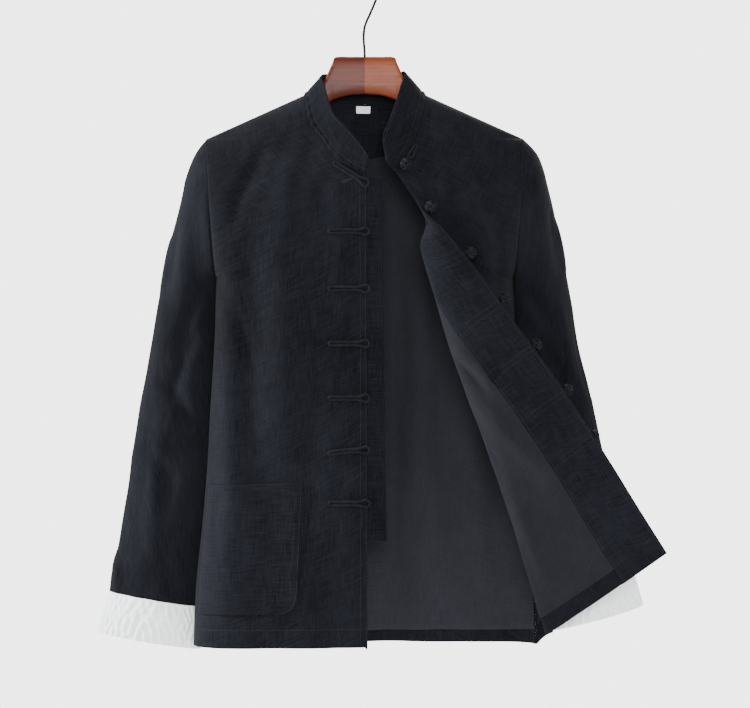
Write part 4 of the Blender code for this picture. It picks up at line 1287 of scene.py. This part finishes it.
def make_pocket():
    us = np.linspace(*POCKET_ACROSS, 60)
    vs = np.linspace(*POCKET_ROWS, 70)

    def relief(grid, u, v):
        base = right_front_relief(grid, u, v)
        top = smooth((v - POCKET_ROWS[0]) / 0.02)
        belly = np.sin(math.pi * (u - us[0]) / (us[-1] - us[0]))
        return base + 0.0010 * belly * (1.0 - top) + 0.0004 * belly

    pocket = cloth_piece("patch_pocket", "cloth", "cloth", "pocket", pocket_surface, us, vs, -1.0,
                         -GAP - CLOTH, CLOTH, relief)


def make_back():
    inside = CLOTH + GAP
    back = cloth_piece("back_cloth", "cloth", "cloth", "back", back_warped, BACK_US, BACK_VS, -1.0,
                       0.0, CLOTH, back_relief, back_seams)
    facing = cloth_piece("back_neck_piece", "cloth", "cloth", "back_neck_facing", back_warped,
                         within(BACK_US, *NECK_PIECE_ACROSS),
                         within(BACK_VS, 0.0045, NECK_FACING_ROW - 0.0015), -1.0, inside, LINING,
                         back_relief)
    lining = cloth_piece("back_lining_cloth", "lining", "lining", "back_lining", back_warped,
                         BACK_US, within(BACK_VS, NECK_FACING_ROW, LINING_FOOT_BACK), -1.0, inside,
                         LINING, back_relief, back_seams)
    label = cloth_piece("neck_label", "label", "label", "label", back_warped,
                        np.linspace(*LABEL_ACROSS, 16), np.linspace(*LABEL_ROWS, 14), -1.0,
                        inside + LINING + GAP, LABEL_CLOTH, back_relief)


def make_left_front():
    inside = CLOTH + GAP
    front = cloth_piece("left_front_cloth", "cloth", "cloth", "front_left", left_warped, LEFT_US,
                        LEFT_VS, 1.0, 0.0, CLOTH, left_front_relief, front_seams(1.0))
    facing = cloth_piece("left_front_facing", "cloth", "cloth", "front_left_facing", left_warped,
                         within(LEFT_US, 0.0, FACING_SHARE - LINING_SEAM),
                         within(LEFT_VS, LINING_TOP_LEFT, 1.0), 1.0, inside, LINING,
                         left_front_relief)
    # The flap's lining gets the lining with painted shade.
    lining = cloth_piece("left_front_lining", "flap_lining_painted_shade", "lining", "front_left_lining",
                         left_warped, within(LEFT_US, FACING_SHARE + LINING_SEAM, 0.975),
                         within(LEFT_VS, LINING_TOP_LEFT, LINING_FOOT_LEFT), 1.0, inside, LINING,
                         left_front_relief)


def make_collar():
    def relief(grid, u, v):
        seam = 0.0010 * np.exp(-((v - 0.10) / 0.06) ** 2)
        line = -0.0006 * np.exp(-((v - 0.20) / 0.035) ** 2)
        gather = 0.0005 * np.sin(210.0 * u) * np.exp(-(v / 0.35) ** 2)
        return seam + line + gather + ripple(grid, *COLLAR_RIPPLE)

    collar = cloth_piece("stand_collar", "cloth", "cloth", "collar", collar_band,
                         np.linspace(0.0, 1.0, 241), np.linspace(0.0, 1.0, 22), 1.0, 0.0,
                         COLLAR_CLOTH, relief)


def make_sleeve(word, table, side, creases, seed):
    turns = np.linspace(0.0, 1.0, 121)[:-1]
    downs = stops((0.0, 0.03, 8), (0.03, 1.0, 120))
    behind = tuple(tuple([tuple((x * 1.01, z - 0.018) for x, z in line), w * 1.1, -0.8 * h])
                   for line, w, h in creases)

    def surface(turn, down):
        return sleeve_surface(table, side, turn % 1.0, down)

    def relief(grid, _, down):
        ahead = smooth(-grid[..., 1] / 0.010)
        back = smooth(grid[..., 1] / 0.010)
        total = crease_height(grid, creases) * ahead + crease_height(grid, behind) * back
        total *= sizes().crease
        total += ripple(grid, seed, SLEEVE_RIPPLE)
        hem = -0.0006 * np.exp(-((down - 0.965) / 0.004) ** 2)
        return (total + hem) * smooth(down / 0.06)

    def cap_plane(_, down):
        planes = [-armhole_plane(side)] if down <= 0.0 else []
        return planes, planes

    sleeve = cloth_piece("sleeve_" + word + "_cloth", "cloth", "cloth", "sleeve_" + word, surface,
                         turns, downs, -side, 0.0, CLOTH, relief, cap_plane, ring=True)

    def cuff(turn, down):
        end = surface(turn, 1.0)
        before = surface(turn, 0.98)
        middle = 0.5 * (surface(0.0, 1.0) + surface(0.5, 1.0))
        fall = unit(end - before)
        spread = CUFF_FLARE * ease(down * 3.0) * (0.7 + 0.5 * down)
        return end + fall * (0.0004 + CUFF_LENGTH * down) + unit(end - middle) * spread

    def crinkle(_, turn, down):
        draw = np.random.default_rng(seed + 40)
        total = np.zeros(turn.shape)
        for _ in range(14):
            waves = draw.integers(9, 46)
            slant = draw.uniform(-2.4, 2.4)
            phase = draw.uniform(0.0, 2.0 * math.pi)
            bend = 0.6 * np.sin(5.0 * down + phase * 1.7)
            total += np.sin(2.0 * math.pi * (waves * turn + slant * down) + phase + bend)
        total = np.tanh(total * 0.42) * sizes().crinkle
        return total * smooth(down / 0.10) * (0.55 + 0.45 * down)

    band = cloth_piece("cuff_" + word + "_linen", "linen", "linen", "cuff_" + word, cuff,
                       np.linspace(0.0, 1.0, 301)[:-1], np.linspace(0.0, 1.0, 46), -side, 0.0,
                       CLOTH, crinkle, ring=True)


def hairpin(length, eye, strands=CORD_PITCH):
    """Flat outline of a doubled cord, (along, beside), with an eye at its end."""
    half = 0.5 * strands
    eye_start = length - 3.2 * eye
    points = [(0.0, -half * 0.6), (half * 0.9, -half)]
    points += [(s, -half) for s in np.linspace(0.008, eye_start, 4)]
    centre = length - eye
    for angle in np.linspace(-110.0, 110.0, 9):
        turn = math.radians(angle)
        points.append((centre + eye * math.cos(turn), eye * math.sin(turn)))
    points += [(s, half) for s in np.linspace(eye_start, 0.008, 4)]
    points += [(half * 0.9, half), (0.0, half * 0.6)]
    return points


def closed_curve(points, spacing):
    """The closed polyline, smoothed and at about even spacing."""
    points = np.asarray(points)
    wrapped = np.concatenate([points[-3:], points, points[:4]])
    dense = [along(wrapped, t) for t in np.linspace(3.0, 3.0 + len(points), 16 * len(points))]
    line = measured(dense)
    count = max(24, int(line[1][-1] / spacing))
    return np.array([at_share(line, s) for s in np.arange(count) / count])


def make_loops():
    for number in range(7):
        tilt = 0.0
        if number == 0:
            end_x, end_z, tilt = COLLAR_LOOP
        else:
            end_x, end_z = EDGE_X + 0.0022, LOOP_HEIGHTS[number - 1]
        droop = LOOP_DROOP if number == DROOPING_LOOP else 0.0
        points = []
        for ahead, beside in hairpin(LOOP_LENGTH, LOOP_EYE, LOOP_PITCH):
            back = LOOP_LENGTH - ahead
            x = end_x - back * math.cos(tilt) + beside * math.sin(tilt)
            z = end_z + back * math.sin(tilt) + beside * math.cos(tilt) - droop * (back / 0.05) ** 2
            y = front_y(min(x, EDGE_X), z) - CORD_RADIUS - 2.0 * GAP
            y -= 0.0003 * abs(math.sin(8.0 * back / 0.05 + number))
            points.append((x, y, z))
        name = f"loop_{number + 1}"
        path = closed_curve(points, LOOP_SPACING)
        mesh = tube(name + "_cord", path, CORD_RADIUS, LOOP_SIDES, True, *CORD_TWIST)
        add_piece(name + "_cord", mesh, finish("cord"), "cord", name)


def knot_path(centre, turn, lean):
    """Centreline of a ball knot: one cord woven round a ball in three leads."""
    points = []
    wide = KNOT_RADIUS - CORD_RADIUS * 0.95
    for t in np.linspace(0.0, 2.0 * math.pi, 241)[:-1]:
        height = math.radians(66.0) * math.sin(4.0 * t)
        about = 3.0 * t + turn
        reach = wide + 0.00065 * math.cos(8.0 * t + 0.5 * math.pi)
        flat = reach * math.cos(height)
        points.append((flat * math.cos(about), reach * math.sin(height) * 0.94,
                       flat * math.sin(about)))
    points = np.array(points)
    c, s = math.cos(lean), math.sin(lean)
    x = points[:, 0] * c - points[:, 2] * s
    z = points[:, 0] * s + points[:, 2] * c
    return np.stack([x, points[:, 1], z], axis=1) + np.asarray(centre)


def ball_of(name, centre, radius):
    body = bmesh.new()
    bmesh.ops.create_icosphere(body, subdivisions=3, radius=radius)
    bmesh.ops.translate(body, verts=body.verts, vec=Vector(centre))
    mesh = bpy.data.meshes.new(name)
    body.to_mesh(mesh)
    body.free()
    mesh.uv_layers.new(name="cloth")
    mesh.shade_smooth()
    return mesh


def make_knot(number, centre, tail_points, turn, lean):
    mesh = tube(f"knot_{number}_ball", knot_path(centre, turn, lean), CORD_RADIUS * 1.05, 10,
                True, *KNOT_TWIST)
    add_piece(f"knot_{number}_ball", mesh, finish("cord"), "cord", f"knot_{number}")
    core = ball_of(f"knot_{number}_core", centre, KNOT_RADIUS * 0.62)
    add_piece(f"knot_{number}_core", core, finish("cord"), "cord")
    if tail_points:
        path = closed_curve(tail_points, TAIL_SPACING)
        mesh = tube(f"knot_{number}_tail", path, CORD_RADIUS, TAIL_SIDES, True, *CORD_TWIST)
        add_piece(f"knot_{number}_tail", mesh, finish("cord"), "cord", f"knot_tail_{number}")


def left_row_at(down):
    """The left front's row at a length down its edge from the neck."""
    return NECK_ROW + (1.0 - NECK_ROW) * down / LEFT_EDGE_LENGTH


def make_knots():
    x, z = COLLAR_KNOT
    centre = (x, front_y(x, z) - KNOT_RADIUS - 2.0 * GAP, z)
    sin, cos = math.sin(COLLAR_TAIL_LEAN), math.cos(COLLAR_TAIL_LEAN)
    points = []
    for ahead, beside in hairpin(COLLAR_TAIL, KNOT_EYE):
        up = KNOT_RADIUS + CORD_RADIUS + GAP + COLLAR_TAIL - ahead
        at_x = x + up * sin + beside * cos
        at_z = z + up * cos - beside * sin
        points.append((at_x, front_y(at_x, at_z) - CORD_RADIUS - 2.0 * GAP, at_z))
    make_knot(1, centre, points, 0.2, 0.4)
    lift = CORD_RADIUS + 0.0022
    reach = KNOT_RADIUS + 2.0 * GAP
    past = np.array([math.cos(EDGE_LEAN), 0.0, math.sin(EDGE_LEAN)])
    for number, (down, out, tail) in enumerate(KNOTS, start=2):
        row = left_row_at(down)
        edge = left_front(0.0, row)
        behind = math.sqrt(max(reach ** 2 - out ** 2, 0.0))
        points = []
        for ahead, beside in hairpin(tail, KNOT_EYE) if tail else ():
            share = (KNOT_RADIUS + tail - ahead) / left_row_length(row)
            at_row = row + beside / LEFT_EDGE_LENGTH * (1.0 - NECK_ROW)
            step = 0.002
            du = left_front(share + step, at_row) - left_front(share - step, at_row)
            dv = left_front(share, at_row + step) - left_front(share, at_row - step)
            points.append(left_front(share, at_row) - unit(np.cross(du, dv)) * lift)
        make_knot(number, edge + past * out + BACKWARD * behind, points, 0.7 * number,
                  0.5 * number)


def pocket_rows():
    """Two rows round the pocket, inside its rounded corner, and two along its hem."""
    upper, lower = POCKET_ROWS
    left, right = POCKET_ACROSS
    paths = []
    for inset in POCKET_STITCHES:
        up = upper + 0.004
        foot = lower - 0.27 * inset
        path = [(left + inset, up), (left + inset, lower - 0.035)]
        for k in range(9):
            turn = 0.5 * math.pi * k / 8
            path.append((left + inset + POCKET_CORNER * (1.0 - math.cos(turn)),
                         lower - 0.035 + (0.035 - 0.27 * inset) * math.sin(turn)))
        path += [(right - inset * 0.5, foot), (right - inset * 0.5, up)]
        paths.append(np.concatenate([line_on("pocket", a, b, 12)
                                     for a, b in zip(path, path[1:])]))
    for drop in POCKET_HEM_STITCHES:
        paths.append(line_on("pocket", (left + 0.01, upper + drop), (right - 0.01, upper + drop), 50))
    return paths


def collar_rows():
    """A row along the collar's foot and one along its top edge."""
    paths = []
    for up in COLLAR_STITCHES:
        line = []
        for a in np.linspace(0.004, 0.996, 220):
            du = collar_band(min(a + 0.002, 1.0), up) - collar_band(max(a - 0.002, 0.0), up)
            dv = collar_band(a, up + 0.02) - collar_band(a, up - 0.02)
            line.append(collar_band(a, up) - unit(np.cross(du, dv)) * 0.0001)
        paths.append(np.array(line))
    return paths


def facing_rows():
    """Rows down both edges of the facing, and one on each side of every knot's tail."""
    paths = [line_on("left_inside", (0.012, 0.33), (0.012, 0.995), 160),
             line_on("left_inside", (0.288, 0.36), (0.288, 0.995), 160)]
    for down, _, tail in KNOTS:
        row = left_row_at(down)
        for beside in (-TAIL_STITCH_BESIDE, TAIL_STITCH_BESIDE) if tail else ():
            at_row = row + beside / LEFT_EDGE_LENGTH * (1.0 - NECK_ROW)
            if at_row > 0.37:
                reach = FACING_SHARE * (tail + 0.006) / FACING_WIDTH
                paths.append(line_on("left_inside", (0.01, at_row), (min(reach, 0.29), at_row), 30))
    return paths


def make_stitches():
    """Rows of topstitching on the fronts, pocket, collar, facing and hems."""
    edge = [line_on("right", (at_neck, 0.283), (at_hem, 0.998), 160)
            for at_neck, at_hem in EDGE_STITCHES]
    edge.append(line_on("right", (0.0, FRONT_HEM), (1.0, FRONT_HEM), 90))
    stitched("front_stitches", edge)
    stitched("pocket_stitches", pocket_rows())
    stitched("collar_stitches", collar_rows())
    stitched("facing_stitches", facing_rows())
    hems = [line_on(kind, (0.0, row), (1.0, row), 140)
            for kind, row in (("back", BACK_HEM), ("left", LEFT_HEM))]
    stitched("hem_stitches", hems)


# ---- hanger ---------------------------------------------------------------------------------
def make_hanger():
    sides = 48
    # One wood for both halves: painted shade on the half at the viewer's left, painted light on the
    # other.
    for word, side, kind in (("right", -1.0, "wood_dark"), ("left", 1.0, "wood_light")):
        places = np.linspace(0.0, len(WOOD_SECTIONS) - 1.0, 121)
        rings = []
        for place in places:
            x, top, low, half = along(WOOD_SECTIONS, place)
            height = 0.5 * (top - low)
            turn = 2.0 * math.pi * (np.arange(sides) + 0.5) / sides
            cos, sin = np.cos(turn), np.sin(turn)
            y = half * np.sign(cos) * np.abs(cos) ** 0.55
            z = 0.5 * (top + low) + height * np.sign(sin) * np.abs(sin) ** 0.55
            at = WOOD_MIDDLE_X + side * max(x, WOOD_JOIN)
            rings.append(np.stack([np.full(sides, at), y, z], axis=1))
        points = np.concatenate(rings)
        index = np.arange(len(points)).reshape(len(places), sides)
        turned = np.roll(index, -1, axis=1)
        quads = np.stack([index[:-1], turned[:-1], turned[1:], index[1:]], axis=-1)
        faces = list(quads.reshape(-1, 4)) + [index[0], index[-1]]
        name = "hanger_" + word
        mesh = mesh_of(name + "_wood", points, faces)
        made = add_piece(name + "_wood", mesh, finish(kind), kind, name)
        made.data.set_sharp_from_angle(angle=math.radians(50.0))


def hook_path():
    """Stem, lean to the right and the open loop, whose inside top is the origin."""
    bend = np.array([-0.0024, -0.0680])
    centre = np.array([0.0, WIRE_RADIUS - HOOK_RADIUS])
    reach = centre - bend
    distance = np.linalg.norm(reach)
    lean = math.atan2(reach[0], reach[1]) + math.asin(HOOK_RADIUS / distance)
    points = [(WOOD_MIDDLE_X, WOOD_TOP_Z + GAP), (-0.0008, -0.0920), (-0.0018, -0.0780)]
    stretch = math.sqrt(distance ** 2 - HOOK_RADIUS ** 2)
    for share in (0.12, 0.5, 0.9):
        points.append((bend[0] + math.sin(lean) * stretch * share,
                       bend[1] + math.cos(lean) * stretch * share))
    for turn in np.linspace(-lean, math.radians(208.0), 19):
        points.append((centre[0] + HOOK_RADIUS * math.cos(turn),
                       centre[1] + HOOK_RADIUS * math.sin(turn)))
    return np.array([(x, 0.0, z) for x, z in points])


def make_hook():
    path = hook_path()
    dense = even([along(path, t) for t in np.linspace(0.0, len(path) - 1.0, 500)], 200)
    mesh = tube("hanger_hook", dense, WIRE_RADIUS, 20)
    add_piece("hanger_hook", mesh, finish("steel"), "steel", "hook")


# ---- stage ----------------------------------------------------------------------------------
def light(name, place, watts, size, colour):
    lamp = bpy.data.lights.new(name, "AREA")
    lamp.energy = watts
    lamp.shape = "DISK"
    lamp.size = size
    lamp.color = colour
    made = bpy.data.objects.new(name, lamp)
    made.location = place
    made.rotation_mode = "QUATERNION"
    aim = Vector(VIEW_CENTRE) - Vector(place)
    made.rotation_quaternion = aim.to_track_quat("-Z", "Y")
    bpy.context.scene.collection.objects.link(made)


def make_stage():
    camera = bpy.data.cameras.new("camera")
    camera.lens = CAMERA_LENS
    camera.sensor_width = CAMERA_SENSOR
    holder = bpy.data.objects.new("camera", camera)
    holder.location = (VIEW_CENTRE[0], -CAMERA_AWAY, VIEW_CENTRE[2])
    holder.rotation_euler = (math.radians(90.0), 0.0, 0.0)
    bpy.context.scene.collection.objects.link(holder)
    bpy.context.scene.camera = holder
    body = bmesh.new()
    bmesh.ops.create_circle(body, cap_ends=True, segments=96, radius=FLOOR_RADIUS)
    bmesh.ops.translate(body, verts=body.verts, vec=(0.0, 0.0, FLOOR_Z))
    mesh = bpy.data.meshes.new("studio_floor")
    body.to_mesh(mesh)
    body.free()
    shade = Shade("pale_floor", 0.9)
    cloud = shade.noise("Object", (1.2, 1.2, 1.2), 2.0)
    shade.colour(shade.mixed(cloud, (0.80, 0.80, 0.80), (0.84, 0.84, 0.835)))
    mesh.materials.append(shade.made)
    floor = bpy.data.objects.new("studio_floor", mesh)
    bpy.context.scene.collection.objects.link(floor)
    world = bpy.data.worlds.new("studio")
    world.use_nodes = True
    sky = world.node_tree.nodes["Background"]
    sky.inputs["Color"].default_value = WORLD_COLOUR
    seen = world.node_tree.nodes.new("ShaderNodeLightPath")
    strength = world.node_tree.nodes.new("ShaderNodeMapRange")
    strength.inputs["To Min"].default_value = AMBIENT
    strength.inputs["To Max"].default_value = BACKDROP
    world.node_tree.links.new(seen.outputs["Is Camera Ray"], strength.inputs["Value"])
    world.node_tree.links.new(strength.outputs["Result"], sky.inputs["Strength"])
    bpy.context.scene.world = world
    for name, place, watts, size, colour in LIGHTS:
        light(name, place, watts, size, colour)


# ---- add-on ---------------------------------------------------------------------------------
def tone(name, description, default):
    return bpy.props.FloatVectorProperty(name=name, description=description, default=default,
                                         subtype="COLOR", size=3, min=0.0, max=1.0)


class JacketSizes(bpy.types.PropertyGroup):
    """Sizes of the jacket's fine detail."""
    crease: bpy.props.FloatProperty(
        name="Crease depth", description="Depth of the hand-placed creases, as a share",
        default=1.8, min=0.0, max=2.5, subtype="FACTOR")
    crinkle: bpy.props.FloatProperty(
        name="Cuff crinkle", description="Height of the cuffs' crinkles",
        default=0.0012, min=0.0, max=0.002, unit="LENGTH", precision=5)
    thread: bpy.props.FloatProperty(
        name="Linen thread", description="Pitch of the linen's threads",
        default=0.0007, min=0.0002, max=0.002, unit="LENGTH", precision=5)
    stitch_pitch: bpy.props.FloatProperty(
        name="Stitch pitch", description="From one stitch to the next",
        default=0.0030, min=0.0015, max=0.006, unit="LENGTH", precision=5)
    stitch_thread: bpy.props.FloatProperty(
        name="Stitch thread", description="Diameter of the sewing thread",
        default=0.00042, min=0.0002, max=0.001, unit="LENGTH", precision=5)


class JacketColours(bpy.types.PropertyGroup):
    """Colours of the jacket and its hanger."""
    cloth: tone("Cloth", "Main linen", (0.0050, 0.0053, 0.0073))
    # The lining's own grey, set lighter to paint light into the shaded inside of the back.
    lining: tone("Lining", "Lining", (0.0145, 0.0146, 0.0182))
    cuffs: tone("Cuffs", "White linen of the cuffs", (0.82, 0.825, 0.835))
    cord: tone("Cord", "Loops and knots", (0.0054, 0.0057, 0.0076))
    thread: tone("Thread", "Sewing thread", (0.0046, 0.0050, 0.0068))
    label: tone("Label", "Neck label", (0.72, 0.71, 0.68))
    # The hanger's halves are one wood; these two tones are painted shade and painted light.
    wood_dark: tone("Wood with painted shade", "The hanger's half on the left", (0.082, 0.014, 0.0045))
    wood_light: tone("Wood with painted light", "The hanger's half on the right", (0.165, 0.035, 0.0095))
    steel: tone("Hook", "Darkened steel", (0.006, 0.006, 0.007))


class TANGJACKET_OT_right_front(bpy.types.Operator):
    """Builds the wearer's right front with its placket strip"""
    bl_idname = "tang_jacket.right_front"
    bl_label = "Right Front"
    bl_options = {"REGISTER", "UNDO"}

    def execute(self, context):
        make_right_front()
        return {"FINISHED"}


class TANGJACKET_OT_pocket(bpy.types.Operator):
    """Builds the patch pocket on the right front"""
    bl_idname = "tang_jacket.pocket"
    bl_label = "Pocket"
    bl_options = {"REGISTER", "UNDO"}

    def execute(self, context):
        make_pocket()
        return {"FINISHED"}


class TANGJACKET_OT_left_front(bpy.types.Operator):
    """Builds the rolled left front with its facing and lining"""
    bl_idname = "tang_jacket.left_front"
    bl_label = "Left Front"
    bl_options = {"REGISTER", "UNDO"}

    def execute(self, context):
        make_left_front()
        return {"FINISHED"}


class TANGJACKET_OT_back(bpy.types.Operator):
    """Builds the back, its lining, neck facing and label"""
    bl_idname = "tang_jacket.back"
    bl_label = "Back"
    bl_options = {"REGISTER", "UNDO"}

    def execute(self, context):
        make_back()
        return {"FINISHED"}


class TANGJACKET_OT_collar(bpy.types.Operator):
    """Builds the stand collar"""
    bl_idname = "tang_jacket.collar"
    bl_label = "Collar"
    bl_options = {"REGISTER", "UNDO"}

    def execute(self, context):
        make_collar()
        return {"FINISHED"}


class TANGJACKET_OT_sleeves(bpy.types.Operator):
    """Builds both sleeves with their linen cuffs"""
    bl_idname = "tang_jacket.sleeves"
    bl_label = "Sleeves"
    bl_options = {"REGISTER", "UNDO"}

    def execute(self, context):
        make_sleeve("right", SLEEVE_RIGHT, -1.0, SLEEVE_RIGHT_CREASES, 21)
        make_sleeve("left", SLEEVE_LEFT, 1.0, SLEEVE_LEFT_CREASES, 22)
        return {"FINISHED"}


class TANGJACKET_OT_fastenings(bpy.types.Operator):
    """Builds the cord loops and the ball knots with their tails"""
    bl_idname = "tang_jacket.fastenings"
    bl_label = "Loops and Knots"
    bl_options = {"REGISTER", "UNDO"}

    def execute(self, context):
        make_loops()
        make_knots()
        return {"FINISHED"}


class TANGJACKET_OT_stitches(bpy.types.Operator):
    """Lays the topstitching along its seams and edges"""
    bl_idname = "tang_jacket.stitches"
    bl_label = "Stitches"
    bl_options = {"REGISTER", "UNDO"}

    def execute(self, context):
        make_stitches()
        return {"FINISHED"}


class TANGJACKET_OT_hanger(bpy.types.Operator):
    """Builds the wooden hanger and its hook"""
    bl_idname = "tang_jacket.hanger"
    bl_label = "Hanger"
    bl_options = {"REGISTER", "UNDO"}

    def execute(self, context):
        make_hanger()
        make_hook()
        return {"FINISHED"}


class TANGJACKET_OT_stage(bpy.types.Operator):
    """Sets the camera, the lights and the pale floor"""
    bl_idname = "tang_jacket.stage"
    bl_label = "Stage"
    bl_options = {"REGISTER", "UNDO"}

    def execute(self, context):
        make_stage()
        return {"FINISHED"}


OPERATORS = (
    TANGJACKET_OT_right_front,
    TANGJACKET_OT_pocket,
    TANGJACKET_OT_left_front,
    TANGJACKET_OT_back,
    TANGJACKET_OT_collar,
    TANGJACKET_OT_sleeves,
    TANGJACKET_OT_fastenings,
    TANGJACKET_OT_stitches,
    TANGJACKET_OT_hanger,
    TANGJACKET_OT_stage,
)


class TANGJACKET_PT_panel(bpy.types.Panel):
    """The jacket's pieces in the sidebar."""
    bl_idname = "TANGJACKET_PT_panel"
    bl_label = "Tang Jacket"
    bl_space_type = "VIEW_3D"
    bl_region_type = "UI"
    bl_category = "Tang Jacket"

    def draw(self, context):
        column = self.layout.column()
        for made in OPERATORS:
            column.operator(made.bl_idname)
        for group in (context.scene.tang_jacket_sizes, context.scene.tang_jacket_colours):
            for key in group.__annotations__:
                column.prop(group, key)


CLASSES = (JacketSizes, JacketColours, *OPERATORS, TANGJACKET_PT_panel)


def register():
    for made in CLASSES:
        bpy.utils.register_class(made)
    bpy.types.Scene.tang_jacket_sizes = bpy.props.PointerProperty(type=JacketSizes)
    bpy.types.Scene.tang_jacket_colours = bpy.props.PointerProperty(type=JacketColours)


def unregister():
    del bpy.types.Scene.tang_jacket_colours
    del bpy.types.Scene.tang_jacket_sizes
    for made in reversed(CLASSES):
        bpy.utils.unregister_class(made)


def main():
    register()
    bpy.ops.tang_jacket.stage()
    bpy.ops.tang_jacket.hanger()
    bpy.ops.tang_jacket.back()
    bpy.ops.tang_jacket.right_front()
    bpy.ops.tang_jacket.pocket()
    bpy.ops.tang_jacket.left_front()
    bpy.ops.tang_jacket.collar()
    bpy.ops.tang_jacket.sleeves()
    bpy.ops.tang_jacket.fastenings()
    bpy.ops.tang_jacket.stitches()


if __name__ == "__main__":
    main()
